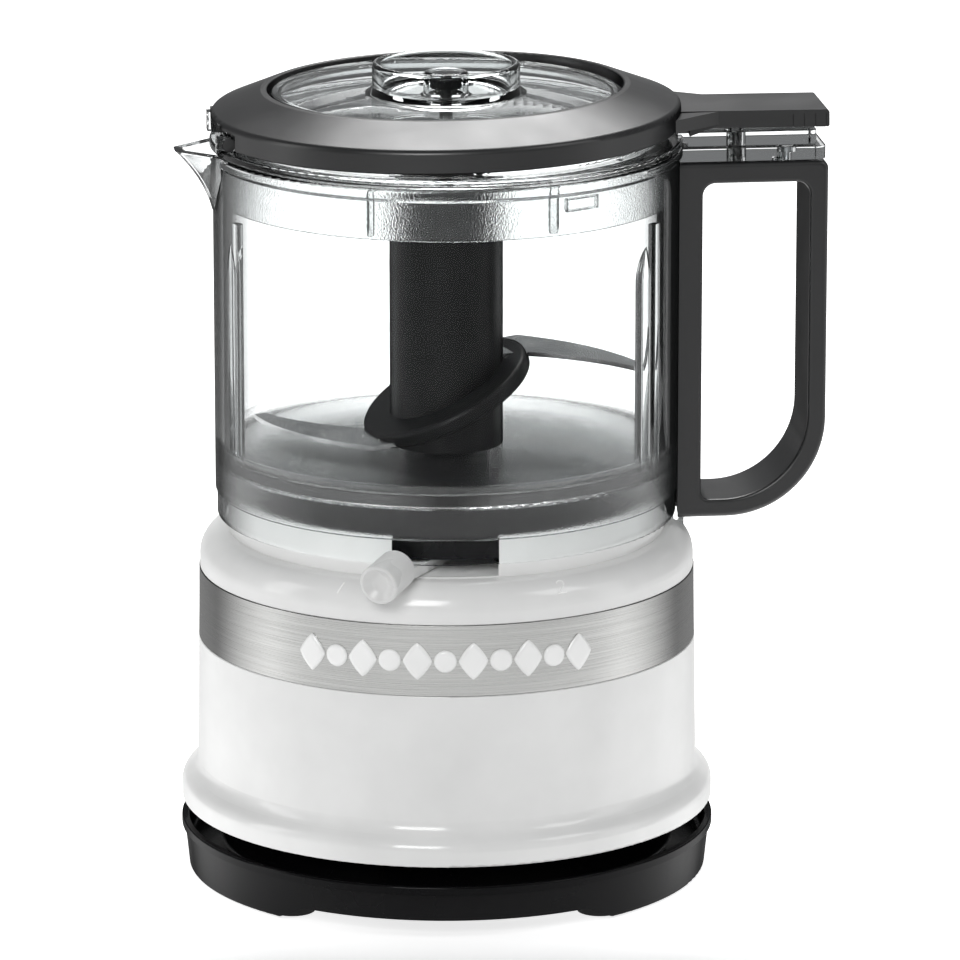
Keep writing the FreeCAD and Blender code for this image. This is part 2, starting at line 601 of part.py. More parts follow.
def make_base_pan():
    body = new_body("base_pan")
    floor_top = v.pan_floor_top
    skirt_inner = v.pan_low_radius - v.pan_wall
    rim_inner = v.pan_rim_radius - v.pan_wall
    core_inner = v.core_radius - v.core_wall
    revolve(body, [
        (0, v.pan_floor_bottom), (skirt_inner, v.pan_floor_bottom), (skirt_inner, v.foot_height),
        (v.pan_low_radius, v.foot_height, v.pan_foot_rounding), (v.pan_high_radius, v.pan_step_height),
        (v.pan_rim_radius, v.pan_step_height + v.slide_gap),
        (v.pan_rim_radius, v.pan_rim_top, v.pan_rim_rounding),
        (rim_inner, v.pan_rim_top, v.pan_rim_rounding), (rim_inner, floor_top, v.pan_groove_rounding),
        (v.core_radius, floor_top, v.pan_groove_rounding), (v.core_radius, v.core_top),
        (core_inner, v.core_top), (core_inner, floor_top), (0, floor_top)])
    arch = [(-v.pan_arch_foot_half, 0), (v.pan_arch_foot_half, 0),
            (v.pan_arch_top_half, v.pan_arch_height, v.pan_arch_rounding),
            (-v.pan_arch_top_half, v.pan_arch_height, v.pan_arch_rounding)]
    pocket(body, 2 * v.pan_rim_radius + 2, "XZ_Plane", [arch], middle=True)
    holes = ring_of_circles(v.screw_radius + v.slide_gap, v.post_ring_radius, v.post_angle)
    pocket(body, v.pan_floor_thickness + 1, circles=holes, height=v.pan_floor_bottom - 0.5)
    cord_hole = pocket(body, v.core_radius + 3, "XZ_Plane",
                       circles=[(0, v.cord_height, v.cord_hole_radius)])
    cord_hole.Reversed = False
    doc.recompute()
    slot = rectangle(v.vent_inner_radius, v.vent_outer_radius, -v.vent_width / 2, v.vent_width / 2)
    vent = pocket(body, v.pan_floor_thickness + 1, outlines=[slot], height=v.pan_floor_bottom - 0.5)
    around(body, [vent], v.vent_count)
    return keep(body)


def make_rubber_feet():
    body = new_body("rubber_feet")
    spots = mirrored_circles(v.foot_radius, v.foot_ring_radius, v.foot_angle)
    pad(body, v.pan_floor_bottom, circles=spots)
    return keep(body)


def make_base_screws():
    """Four screws from under the pan into the housing's posts."""
    body = new_body("base_screws")
    head = v.pan_floor_bottom - v.screw_head_height
    spots = (v.post_ring_radius, v.post_angle)
    pad(body, v.screw_head_height, circles=ring_of_circles(v.screw_head_radius, *spots), height=head)
    pad(body, v.base_screw_length, circles=ring_of_circles(v.screw_radius, *spots),
        height=v.pan_floor_bottom)
    return keep(body)


def make_cord_bush():
    """Rubber inlet bush through the back of the core wall, with its cord bore left open."""
    to_back = Rotation(Vector(1, 0, 0), -90)
    core_inner = v.core_radius - v.core_wall
    inner_face = core_inner - v.bush_flange - v.slide_gap - v.fit_gap
    outer_face = v.core_radius + v.slide_gap + v.bush_flange
    barrel = cylinder("bush_barrel", v.cord_hole_radius - v.fit_gap, outer_face - inner_face,
                      (0, inner_face, v.cord_height), to_back)
    inside = cylinder("bush_inner_flange", v.cord_hole_radius + v.bush_flange, v.bush_flange,
                      (0, inner_face, v.cord_height), to_back)
    outside = cylinder("bush_outer_flange", v.cord_hole_radius + v.bush_flange, v.bush_flange,
                       (0, outer_face - v.bush_flange, v.cord_height), to_back)
    bore = cylinder("bush_bore", v.cord_bore_radius, outer_face - inner_face + 2,
                    (0, inner_face - 1, v.cord_height), to_back)
    return keep(cut("cord_bush", fuse("bush_outside", barrel, inside, outside), bore))


def handle_point(station, across):
    """A point given along and across the handle's direction, in the base's own axes."""
    across = sized(across)
    along, side = cosine(v.handle_angle), sine(v.handle_angle)
    return station * along - across * side, station * side + across * along


def make_motor_housing():
    body = new_body("motor_housing")
    lip_inner = v.core_radius + v.slide_gap
    skirt_inner = v.skirt_radius - v.housing_wall
    lip_top = v.skirt_bottom + v.housing_wall
    wall_inner = v.housing_top_radius - v.housing_wall
    band_top = v.band_top
    recess = v.housing_radius - v.band_recess
    neck_inner = v.neck_radius - v.neck_wall
    floor_top = v.deck_floor_top
    floor_bottom = v.deck_floor_bottom
    hole = v.bush_radius + 5
    revolve(body, [
        (lip_inner, v.skirt_bottom), (v.skirt_radius, v.skirt_bottom, 0.8),
        (v.skirt_radius, v.skirt_flare_start, 3.5), (v.housing_radius + 0.6, v.skirt_flare_end, 4.5),
        (v.housing_radius, v.band_bottom, v.band_rounding), (recess, v.band_bottom),
        (recess, band_top), (v.housing_top_radius, band_top, v.band_rounding),
        (v.housing_top_radius, v.shoulder_top, v.shoulder_radius),
        (v.neck_radius, v.shoulder_top), (v.neck_radius, v.neck_top, v.neck_rounding),
        (neck_inner, v.neck_top, v.neck_rounding), (neck_inner, floor_top), (hole, floor_top),
        (hole, floor_bottom), (wall_inner, floor_bottom, v.shoulder_radius - 2),
        (wall_inner, v.skirt_flare_end + 3), (skirt_inner, v.skirt_flare_start + 1),
        (skirt_inner, lip_top), (lip_inner, lip_top)])
    post_bottom = v.pan_floor_top + v.slide_gap
    posts = ring_of_circles(v.post_radius, v.post_ring_radius, v.post_angle)
    pad(body, floor_bottom + 0.5 - post_bottom, circles=posts, height=post_bottom)
    post_holes = ring_of_circles(v.post_hole_radius, v.post_ring_radius, v.post_angle)
    pocket(body, v.post_hole_depth, circles=post_holes, height=post_bottom)
    notch = rectangle(-v.notch_half_width, v.notch_half_width, -v.neck_radius - 2,
                      v.notch_depth - v.neck_radius)
    pocket(body, v.neck_top, outlines=[notch], height=floor_top)
    pivot = [(0, v.lever_pivot_y, v.lever_post_radius + v.running_gap)]
    pocket(body, v.deck_floor_thickness + 1, circles=pivot, height=floor_bottom - 0.5)
    deck_screws = ring_of_circles(v.screw_radius + v.slide_gap, v.deck_screw_ring, v.deck_screw_angle)
    pocket(body, v.deck_floor_thickness + 1, circles=deck_screws, height=floor_bottom - 0.5)
    ears = mirrored_circles(v.post_hole_radius, v.ear_ring_radius, v.ear_angle)
    pocket(body, v.deck_floor_thickness - 0.6, circles=ears, height=floor_bottom)
    button_hole = [(*handle_point(v.button_station, 0), v.button_radius + v.slide_gap)]
    pocket(body, v.shoulder_top, circles=button_hole, height=v.button_block_bottom - 3)
    bay_outer = v.button_station + v.button_radius + v.slide_gap
    bay_inner = v.button_station - v.slide_gap - v.button_block_height
    bay_corners = [(bay_inner, -2.5), (bay_outer, -2.5), (bay_outer, 2.5), (bay_inner, 2.5)]
    bay = [handle_point(station, across) for station, across in bay_corners]
    pocket(body, 11, outlines=[bay], height=v.button_block_bottom - 5)
    return keep(body)


def make_trim_band():
    body = new_body("trim_band")
    inner = v.housing_radius - v.band_recess + v.fit_gap
    outer = inner + v.band_thickness
    low = v.band_bottom + v.screw_gap
    high = v.band_top - v.screw_gap
    slant = v.housing_taper / 2
    revolve(body, [(inner, low), (outer, low, 0.1), (outer - slant, high, 0.1), (inner, high)])
    return keep(body)


def wrapped(outline, inner, outer):
    """A flat outline of (x, z) corners, carried straight back onto a thin ring at the front."""
    corners = [Vector(x, -outer - 5, z) for x, z in outline]
    face = Part.Face(Part.makePolygon(corners + corners[:1]))
    block = face.extrude(Vector(0, outer / 2, 0))
    ring = Part.makeCylinder(outer, 200).cut(Part.makeCylinder(inner, 200))
    return block.common(ring)


def regular_outline(x, z, radius, count, turn=0.0):
    """A regular polygon about a point, as (x, z) corners."""
    steps = [math.radians(turn + 360 / count * i) for i in range(count)]
    return [(x + radius * math.cos(a), z + radius * math.sin(a)) for a in steps]


def make_badge():
    """Raised front ornament: a ring and, to each side, three shrinking lozenges and a bar."""
    inner = (v.housing_radius - v.band_recess + v.band_thickness + 2 * v.fit_gap).value
    outer = inner + v.badge_relief.value
    middle = ((v.band_bottom + v.band_top) / 2).value
    half = v.badge_height.value / 2
    reach = v.badge_half_width.value
    disc = wrapped(regular_outline(0, middle, half, 48), inner, outer)
    hole = wrapped(regular_outline(0, middle, half * 0.45, 48), inner - 1, outer + 1)
    solids = [disc.cut(hole)]
    for side in (-1, 1):
        for step, scale in enumerate((0.9, 0.7, 0.5)):
            x = side * reach * (0.26 + 0.17 * step)
            tall, wide = half * scale, half * scale * 0.62
            lozenge = [(x - wide, middle), (x, middle - tall), (x + wide, middle), (x, middle + tall)]
            solids.append(wrapped(lozenge, inner, outer))
        near, far = side * reach * 0.7, side * reach
        bar = [(near, middle - half * 0.3), (far, middle - 0.3), (far, middle + 0.3),
               (near, middle + half * 0.3)]
        solids.append(wrapped(bar, inner, outer))
    pieces = [solid for shape in solids for solid in shape.Solids]
    return keep(coded("badge", Part.makeCompound(pieces)))


def make_drive_deck():
    """Black deck inside the neck: its wall shows in the notch and its boss enters the bowl."""
    body = new_body("drive_deck")
    outer = v.neck_radius - v.neck_wall - v.slide_gap
    plate_bottom = v.drive_deck_top - v.drive_deck_thickness
    revolve(body, [
        (outer, v.drive_deck_skirt), (outer, v.drive_deck_top, 0.6),
        (v.deck_boss_radius, v.drive_deck_top, v.boss_fillet),
        (v.deck_boss_radius, v.deck_boss_top, 0.4),
        (v.deck_boss_bore, v.deck_boss_top), (v.deck_boss_bore, plate_bottom),
        (outer - v.deck_wall, plate_bottom), (outer - v.deck_wall, v.drive_deck_skirt)])
    floor_top = v.deck_floor_top
    spots = (v.deck_screw_ring, v.deck_screw_angle)
    pad(body, plate_bottom + 0.4 - floor_top, circles=ring_of_circles(v.standoff_radius, *spots),
        height=floor_top)
    pocket(body, 5.5, circles=ring_of_circles(v.screw_radius + v.running_gap, *spots), height=floor_top)
    pocket(body, v.seal_height + 1, circles=[(0, 0, v.deck_boss_radius - 1)], height=v.seal_bottom)
    return keep(body)


def make_deck_screws():
    body = new_body("deck_screws")
    floor_bottom = v.deck_floor_bottom
    spots = (v.deck_screw_ring, v.deck_screw_angle)
    pad(body, v.screw_head_height, circles=ring_of_circles(v.screw_head_radius, *spots),
        height=floor_bottom - v.screw_head_height)
    pad(body, v.deck_screw_length, circles=ring_of_circles(v.screw_radius, *spots), height=floor_bottom)
    return keep(body)


def make_shaft_seal():
    body = new_body("shaft_seal")
    low = v.seal_bottom
    high = v.deck_boss_top - v.slide_gap
    outer = v.deck_boss_radius - 1 - v.running_gap
    inner = v.shaft_radius + v.running_gap
    revolve(body, [(inner, low), (outer, low), (outer, high), (inner + 1, high), (inner, (low + high) / 2)])
    return keep(body)


# ---------------------------------------------------------------- speed lever and its switch

def lever_placement():
    pivot = Placement(Vector(0, v.lever_pivot_y.value, 0), Rotation())
    return pivot * Placement(Vector(), Rotation(Vector(0, 0, 1), v.lever_rest_angle.value))


def make_speed_lever():
    """Flat arm from a pivot post out through the notch; its own frame points it to the front."""
    body = new_body("speed_lever")
    half = v.lever_width / 2
    plate = rectangle(-half, half, -v.knob_start + 0.6, half)
    pad(body, v.lever_thickness, outlines=[plate], height=v.lever_bottom)
    pad(body, v.lever_bottom + 1 - v.lever_post_bottom, circles=[(0, 0, v.lever_post_radius)],
        height=v.lever_post_bottom)
    body.Placement = lever_placement()
    return keep(body)


def make_lever_knob():
    """Round knob on the arm's end, with a dished outer face, drooping outward."""
    body = new_body("lever_knob")
    rim = v.knob_radius - v.knob_lip
    dish = v.knob_length - v.knob_dish_depth
    revolve(body, [
        (0, 0), (v.knob_radius - 0.15, 0, 0.7), (v.knob_radius, v.knob_length, 0.45),
        (rim, v.knob_length, 0.35), (rim - v.knob_dish_margin, dish, 2.4), (0, dish)])
    start = Vector(0, -v.knob_start.value, v.knob_height.value)
    lean = Rotation(Vector(1, 0, 0), 90 + v.knob_droop.value)
    body.Placement = lever_placement() * Placement(start, lean)
    return keep(body)


def make_speed_switch():
    low = v.board_bottom + v.board_thickness
    block = box("speed_switch_block", (-9, v.lever_pivot_y - 10.5, low),
                (9, v.lever_pivot_y + 5, v.deck_floor_bottom))
    socket = cylinder("speed_switch_socket", v.lever_post_radius + v.running_gap, 20,
                      (0, v.lever_pivot_y, v.lever_post_bottom - 0.3))
    return keep(cut("speed_switch", block, socket))


def make_circuit_board():
    low = v.board_bottom
    half = v.board_half_width
    board = box("circuit_board", (-half, v.lever_pivot_y - v.board_front, low),
                (half, v.lever_pivot_y + v.board_back, low + v.board_thickness))
    return keep(board)


def make_board_components():
    """Suppression capacitor, two diodes' heat tab, choke and terminal block under the board."""
    top = v.board_bottom
    middle = v.lever_pivot_y
    capacitor = box("capacitor", (-20, middle - 14, top - 11), (-6, middle - 7, top))
    terminals = box("terminals", (8, middle - 5, top - 8), (20, middle + 2, top))
    bridge = box("bridge", (4, middle - 15, top - 9), (18, middle - 11.5, top))
    choke = cylinder("choke", 3.5, 10, (-12, middle - 1, top - 10))
    return keep(group("board_components", capacitor, terminals, bridge, choke))


def make_microswitch():
    """On/off switch on its bracket, under the block of the switch button."""
    low = v.bracket_top
    high = v.button_block_bottom - v.switch_travel
    outer = v.button_station - v.button_radius - 1.4
    case = box("microswitch", (outer - 6.1, -6.5, low), (outer, 6.5, high))
    return keep(turn_with_handle(case))


def make_switch_bracket():
    inner = v.button_station - 10.5
    plate = box("bracket_plate", (inner, -8, v.bracket_top - v.bracket_thickness),
                (v.housing_radius, 8, v.bracket_top))
    reach = cylinder("bracket_reach", v.housing_top_radius - v.housing_wall - v.fit_gap, 40,
                     (0, 0, v.bracket_top - 20))
    return keep(turn_with_handle(common("switch_bracket", plate, reach)))


def make_switch_button():
    """Round plunger through the shoulder, with a block that reaches in over the microswitch."""
    body = new_body("switch_button")
    block = rectangle(v.button_station - 7.5, v.button_station + v.button_radius - 0.1, -2, 2)
    pad(body, v.button_block_height, outlines=[block], height=v.button_block_bottom)
    pad(body, v.button_top - v.button_block_bottom, circles=[(v.button_station, 0, v.button_radius)],
        height=v.button_block_bottom)
    soften(body, 0.5, lambda edge: edge.BoundBox.ZMin > v.button_top.value - 0.01)
    return keep(turn_with_handle(body))


def coil(radius, wire, low, high, turns):
    """A coil spring about Z between two heights."""
    helix = Part.makeHelix((high - low) / turns, high - low, radius)
    ring = Part.makeCircle(wire, Vector(radius, 0, 0), Vector(0, 1, 0))
    spring = Part.Wire(helix).makePipeShell([Part.Wire(ring)], True, True)
    spring.translate(Vector(0, 0, low))
    return spring if spring.Volume > 0 else spring.reversed()


def make_button_spring():
    wire = 0.25
    station = v.button_station.value - 1.0
    shape = coil(1.15, wire, v.bracket_top.value + wire, v.button_block_bottom.value - wire, 9)
    return keep(stand_in_handle(coded("button_spring", shape), station))


# ---------------------------------------------------------------- motor

def make_motor_can():
    body = new_body("motor_can")
    inner = v.can_radius - v.can_wall
    revolve(body, [
        (inner, v.can_bottom), (v.can_radius, v.can_bottom), (v.can_radius, v.can_top, 1.5),
        (v.can_bore, v.can_top), (v.can_bore, v.can_top - v.can_wall), (inner, v.can_top - v.can_wall)])
    return keep(move_to_motor(body))


def make_motor_end_cap():
    body = new_body("motor_end_cap")
    bore = v.motor_shaft_radius + v.running_gap
    revolve(body, [
        (bore, v.end_cap_bottom), (6, v.end_cap_bottom), (v.can_radius - 1, v.end_cap_bottom + 3),
        (v.can_radius, v.end_cap_bottom + 5), (v.can_radius, v.can_bottom), (bore, v.can_bottom)])
    return keep(move_to_motor(body))


def make_magnets():
    """Two curved magnets against the inside of the can."""
    outer = v.can_radius - v.can_wall - v.running_gap
    length = v.magnet_top - v.magnet_bottom
    magnets = []
    for side in (0, 180):
        start = side - v.magnet_angle.value / 2
        turn = Rotation(Vector(0, 0, 1), start)
        block = cylinder(f"magnet_block_{side}", outer, length, (0, v.motor_y, v.magnet_bottom), turn)
        bind(block, Angle=v.magnet_angle)
        bore = cylinder(f"magnet_bore_{side}", outer - v.magnet_thickness, length + 2,
                        (0, v.motor_y, v.magnet_bottom - 1))
        magnets.append(cut(f"magnet_{side}", block, bore))
    return keep(group("magnets", *magnets))


def make_armature_core():
    """Laminated core with slots for the windings."""
    body = new_body("armature_core")
    pad(body, v.core_length, circles=[(0, 0, v.armature_radius)], height=v.core_bottom)
    bore = [(0, 0, v.motor_shaft_radius + v.press_gap)]
    pocket(body, v.core_length + 2, circles=bore, height=v.core_bottom - 1)
    slot = rectangle(v.armature_radius - v.slot_depth, v.armature_radius + 1, -v.slot_half_width,
                     v.slot_half_width)
    first = pocket(body, v.core_length + 2, outlines=[slot], height=v.core_bottom - 1)
    around(body, [first], v.armature_slots)
    return keep(move_to_motor(body))


def make_armature_windings():
    """End turns above and below the core, joined by a bar of wire in each slot."""
    body = new_body("armature_windings")
    depth = v.end_turn_height
    outer = v.armature_radius - 1
    low = v.core_bottom - depth - 0.1
    high = v.core_bottom + v.core_length + 0.1
    for level in (low, high):
        pad(body, depth, circles=[(0, 0, outer), (0, 0, v.end_turn_bore)], height=level)
    bar_half = v.slot_half_width - v.fit_gap
    bar = rectangle(v.armature_radius - v.slot_depth + v.fit_gap, outer - 0.4, -bar_half, bar_half)
    first = pad(body, high - low + 1, outlines=[bar], height=low + 1)
    around(body, [first], v.armature_slots)
    return keep(move_to_motor(body))


def make_commutator():
    body = new_body("commutator")
    sleeve = [(0, 0, v.commutator_radius), (0, 0, v.motor_shaft_radius + v.press_gap)]
    pad(body, v.commutator_height, circles=sleeve, height=v.commutator_bottom)
    slit = rectangle(v.commutator_radius - 0.8, v.commutator_radius + 1, -0.25, 0.25)
    first = pocket(body, v.commutator_height + 1, outlines=[slit], height=v.commutator_bottom - 0.5)
    around(body, [first], v.armature_slots)
    return keep(move_to_motor(body))


def make_motor_shaft():
    length = v.motor_shaft_top - v.motor_shaft_bottom
    shaft = cylinder("motor_shaft", v.motor_shaft_radius, length, (0, v.motor_y, v.motor_shaft_bottom))
    return keep(shaft)


def make_cooling_fan():
    body = new_body("cooling_fan")
    pad(body, v.fan_disc, circles=[(0, 0, v.fan_radius)], height=v.fan_bottom)
    pad(body, v.fan_height, circles=[(0, 0, 5)], height=v.fan_bottom)
    blade = rectangle(4.5, v.fan_radius - 0.5, -0.6, 0.6)
    first = pad(body, v.fan_height - 0.4, outlines=[blade], height=v.fan_bottom)
    around(body, [first], v.fan_blades)
    bore = [(0, 0, v.motor_shaft_radius + v.press_gap)]
    pocket(body, v.fan_height + 2, circles=bore, height=v.fan_bottom - 1)
    return keep(move_to_motor(body))


def make_brushes():
    """Two carbon brushes, and the two box holders that stand on the end cap."""
    near = v.commutator_radius + v.running_gap
    low = v.commutator_bottom + 0.8
    brushes = []
    holders = []
    for side in (-1, 1):
        inside, outside = (near, near + 9) if side > 0 else (-near - 9, -near)
        brush = box(f"brush_{side}", (inside, v.motor_y - 2, low), (outside, v.motor_y + 2, low + 3.4))
        shell_in, shell_out = (near + 1.2, near + 11) if side > 0 else (-near - 11, -near - 1.2)
        shell = box(f"holder_shell_{side}", (shell_in, v.motor_y - 3.2, v.can_bottom),
                    (shell_out, v.motor_y + 3.2, low + 4.8))
        guide_in, guide_out = (near, near + 9.6) if side > 0 else (-near - 9.6, -near)
        guide = box(f"holder_guide_{side}", (guide_in, v.motor_y - 2.1, low - 0.1),
                    (guide_out, v.motor_y + 2.1, low + 3.5))
        brushes.append(brush)
        holders.append(cut(f"holder_{side}", shell, guide))
    keep(group("carbon_brushes", *brushes))
    return keep(group("brush_holders", *holders))


# ---------------------------------------------------------------- gears

def involute_point(base, radius, turn, hand):
    """Point of an involute at a radius, started from an angle on its base circle."""
    roll = math.sqrt(max((radius / base) ** 2 - 1, 0.0))
    angle = turn + hand * (roll - math.atan(roll))
    return Vector(radius * math.cos(angle), radius * math.sin(angle), 0)


def gear_face(teeth, bore):
    """Flat spur gear with 20 degree involute flanks, thinned for backlash."""
    module = v.gear_module.value
    pitch = module * teeth / 2
    base = pitch * math.cos(math.radians(20))
    tip = pitch + v.gear_addendum.value * module
    root = pitch - v.gear_dedendum.value * module
    involute_at_pitch = math.tan(math.radians(20)) - math.radians(20)
    half_tooth = math.pi / (2 * teeth) - v.tooth_backlash.value / pitch
    start = max(base, root + 0.15 * module)
    levels = [start + (tip - start) * part for part in (0, 0.33, 0.67, 1)]
    edges = []
    for tooth in range(teeth):
        middle = 2 * math.pi * tooth / teeth
        lead = middle - half_tooth - involute_at_pitch
        trail = middle + half_tooth + involute_at_pitch
        rising = [involute_point(base, level, lead, 1) for level in levels]
        falling = [involute_point(base, level, trail, -1) for level in reversed(levels)]
        foot = rising[0] * (root / rising[0].Length)
        heel = falling[-1] * (root / falling[-1].Length)
        crown = Vector(tip * math.cos(middle), tip * math.sin(middle), 0)
        gap_angle = middle + math.pi / teeth
        gap = Vector(root * math.cos(gap_angle), root * math.sin(gap_angle), 0)
        next_foot_angle = math.atan2(foot.y, foot.x) + 2 * math.pi / teeth
        next_foot = Vector(root * math.cos(next_foot_angle), root * math.sin(next_foot_angle), 0)
        flank_up, flank_down = Part.BSplineCurve(), Part.BSplineCurve()
        flank_up.interpolate(rising)
        flank_down.interpolate(falling)
        edges += [Part.makeLine(foot, rising[0]), flank_up.toShape(),
                  Part.Arc(rising[-1], crown, falling[0]).toShape(), flank_down.toShape(),
                  Part.makeLine(falling[-1], heel), Part.Arc(heel, gap, next_foot).toShape()]
    face = Part.Face(Part.Wire(edges))
    return face.cut(Part.Face(Part.Wire(Part.makeCircle(bore))))


def make_pinion():
    """Motor pinion: one tooth points at the wheel."""
    bore = (v.motor_shaft_radius + v.press_gap).value
    height = (v.gear_thickness + 2 * v.gear_overlap).value
    shape = gear_face(int(v.pinion_teeth.value), bore).extrude(Vector(0, 0, height))
    pinion = coded("pinion", shape)
    turn = Rotation(Vector(0, 0, 1), -90)
    low = (v.gear_bottom - v.gear_overlap).value
    pinion.Placement = Placement(Vector(0, v.motor_y.value, low), turn)
    return keep(pinion)


def make_drive_gear():
    """Wheel on the drive shaft, with a gap facing the pinion, a hub and lightening holes."""
    teeth = int(v.wheel_teeth.value)
    bore = (v.shaft_radius + v.press_gap).value
    thickness = v.gear_thickness.value
    shape = gear_face(teeth, bore).extrude(Vector(0, 0, thickness))
    below = v.wheel_hub_below.value
    hub_length = thickness + below + v.wheel_hub_above.value
    hub = Part.makeCylinder(v.wheel_hub_radius.value, hub_length, Vector(0, 0, -below)).cut(
        Part.makeCylinder(bore, hub_length + 2, Vector(0, 0, -below - 1)))
    pitch = v.gear_module.value * teeth / 2
    hole_radius = v.wheel_hole_radius.value
    holes = [Part.makeCylinder(hole_radius, thickness + 2, Vector(pitch * 0.6, 0, -1)) for _ in range(6)]
    for step, hole in enumerate(holes):
        hole.rotate(Vector(), Vector(0, 0, 1), 60 * step)
    shape = shape.fuse(hub).cut(holes)
    wheel = coded("drive_gear", shape.removeSplitter())
    turn = Rotation(Vector(0, 0, 1), 90 + 180 / teeth)
    wheel.Placement = Placement(Vector(0, 0, v.gear_bottom.value), turn)
    return keep(wheel)


def motor_screw_spots():
    """Centres of the two motor screws."""
    across = v.can_radius * v.motor_screw_share
    return [(side * across, v.motor_y + v.motor_screw_offset) for side in (-1, 1)]


def make_gearbox_housing():
    """Cast floor that carries the motor, a wall round both gears and four screw ears."""
    body = new_body("gearbox_housing")
    floor = v.gearbox_floor
    floor_top = floor + v.gearbox_floor_thickness
    pinion_room = v.pinion_room
    pad(body, v.gearbox_floor_thickness, circles=[(0, 0, v.gearbox_radius)], height=floor)
    pad(body, v.gearbox_floor_thickness, circles=[(0, v.motor_y, v.can_radius)], height=floor)
    pad(body, v.gearbox_top - floor, circles=[(0, 0, v.gearbox_radius)], height=floor)
    pad(body, v.gearbox_top - floor, circles=[(0, v.motor_y, pinion_room + v.gearbox_wall)], height=floor)
    ears = mirrored_circles(v.ear_radius, v.ear_ring_radius, v.ear_angle)
    pad(body, v.gearbox_top - floor, circles=ears, height=floor)
    bush_boss = [(0, 0, v.bush_radius + v.bush_boss_wall)]
    pad(body, v.bush_seat + 2.4, circles=bush_boss, height=floor - v.bush_seat - 1.4)
    inner = v.gearbox_radius - v.gearbox_wall
    pocket(body, 40, circles=[(0, 0, inner)], height=floor_top)
    pocket(body, 40, circles=[(0, v.motor_y, pinion_room)], height=floor_top)
    pocket(body, 40, circles=[(0, 0, v.bush_radius + v.press_gap)], height=floor - v.bush_seat)
    pocket(body, 10, circles=[(0, v.motor_y, v.can_bore)], height=floor - 1)
    holes = mirrored_circles(v.screw_radius + v.screw_gap, v.ear_ring_radius, v.ear_angle)
    pocket(body, 40, circles=holes, height=floor - 1)
    motor_screws = [(*spot, v.screw_radius + v.screw_gap) for spot in motor_screw_spots()]
    pocket(body, 10, circles=motor_screws, height=floor - 1)
    return keep(body)


def make_gearbox_cover():
    """Lid of the gearbox, face to face under the housing's deck, with the upper bush's boss."""
    body = new_body("gearbox_cover")
    low = v.gearbox_top
    high = v.deck_floor_bottom
    pinion_room = v.pinion_room
    pad(body, high - low, circles=[(0, 0, v.gearbox_radius)], height=low)
    pad(body, high - low, circles=[(0, v.motor_y, pinion_room + v.gearbox_wall)], height=low)
    pad(body, high - low, circles=mirrored_circles(v.ear_radius, v.ear_ring_radius, v.ear_angle), height=low)
    pad(body, high - low + v.cover_boss_height, circles=[(0, 0, v.bush_radius + v.bush_boss_wall)], height=low)
    pocket(body, 40, circles=[(0, 0, v.bush_radius + v.press_gap)], height=low - 1)
    holes = mirrored_circles(v.screw_radius + v.screw_gap, v.ear_ring_radius, v.ear_angle)
    pocket(body, 40, circles=holes, height=low - 1)
    return keep(body)


def make_gearbox_screws():
    """Four long screws through the gearbox ears into the deck."""
    body = new_body("gearbox_screws")
    floor_bottom = v.deck_floor_bottom
    spots = (v.ear_ring_radius, v.ear_angle)
    pad(body, v.screw_head_height, circles=mirrored_circles(v.screw_head_radius, *spots),
        height=v.gearbox_floor - v.screw_head_height)
    pad(body, floor_bottom + 1.5 - v.gearbox_floor, circles=mirrored_circles(v.screw_radius, *spots),
        height=v.gearbox_floor)
    return keep(body)


def make_motor_screws():
    """Two screws from the gearbox floor down into the motor can."""
    body = new_body("motor_screws")
    floor_top = v.gearbox_floor + v.gearbox_floor_thickness
    spots = motor_screw_spots()
    pad(body, 1.5, circles=[(*spot, v.screw_head_radius - 0.6) for spot in spots], height=floor_top)
    pad(body, v.gearbox_floor_thickness, circles=[(*spot, v.screw_radius) for spot in spots],
        height=v.gearbox_floor)
    return keep(body)


def make_bush(label, low, length):
    body = new_body(label)
    rings = [(0, 0, v.bush_radius), (0, 0, v.shaft_radius + v.running_gap)]
    pad(body, length, circles=rings, height=low)
    return keep(body)


def make_drive_shaft():
    shaft = cylinder("drive_shaft", v.shaft_radius, v.shaft_top - v.shaft_bottom, (0, 0, v.shaft_bottom))
    return keep(shaft)


def make_drive_coupling():
    """Six-sided driver pressed on the top of the shaft."""
    length = v.coupling_top - v.coupling_bottom
    prism = primitive("Prism", "coupling_prism", (0, 0, v.coupling_bottom), None,
                      Circumradius=v.coupling_radius, Height=length)
    prism.Polygon = 6
    turn_with_blade(prism)
    bore = cylinder("coupling_bore", v.shaft_radius + v.press_gap, v.shaft_in_coupling,
                    (0, 0, v.coupling_bottom))
    return keep(cut("drive_coupling", prism, bore))


# ---------------------------------------------------------------- bowl and handle

def loft(body, kind, sections):
    """Loft through outlines drawn at given heights."""
    sketches = [new_sketch(body, "XY_Plane", [outline], height=level) for level, outline in sections]
    feature = body.newObject(kind, body.Label + "_loft")
    feature.Profile = sketches[0]
    feature.Sections = sketches[1:]
    doc.recompute()
    return feature


def spout_outline(root, reach, root_half, tip_half):
    """Plan of the spout at one level: wide at the bowl, narrow and rounded at the tip."""
    rounding = tip_half * 0.8
    return [(-root, root_half), (-reach, tip_half, rounding), (-reach, -tip_half, rounding),
            (-root, -root_half)]


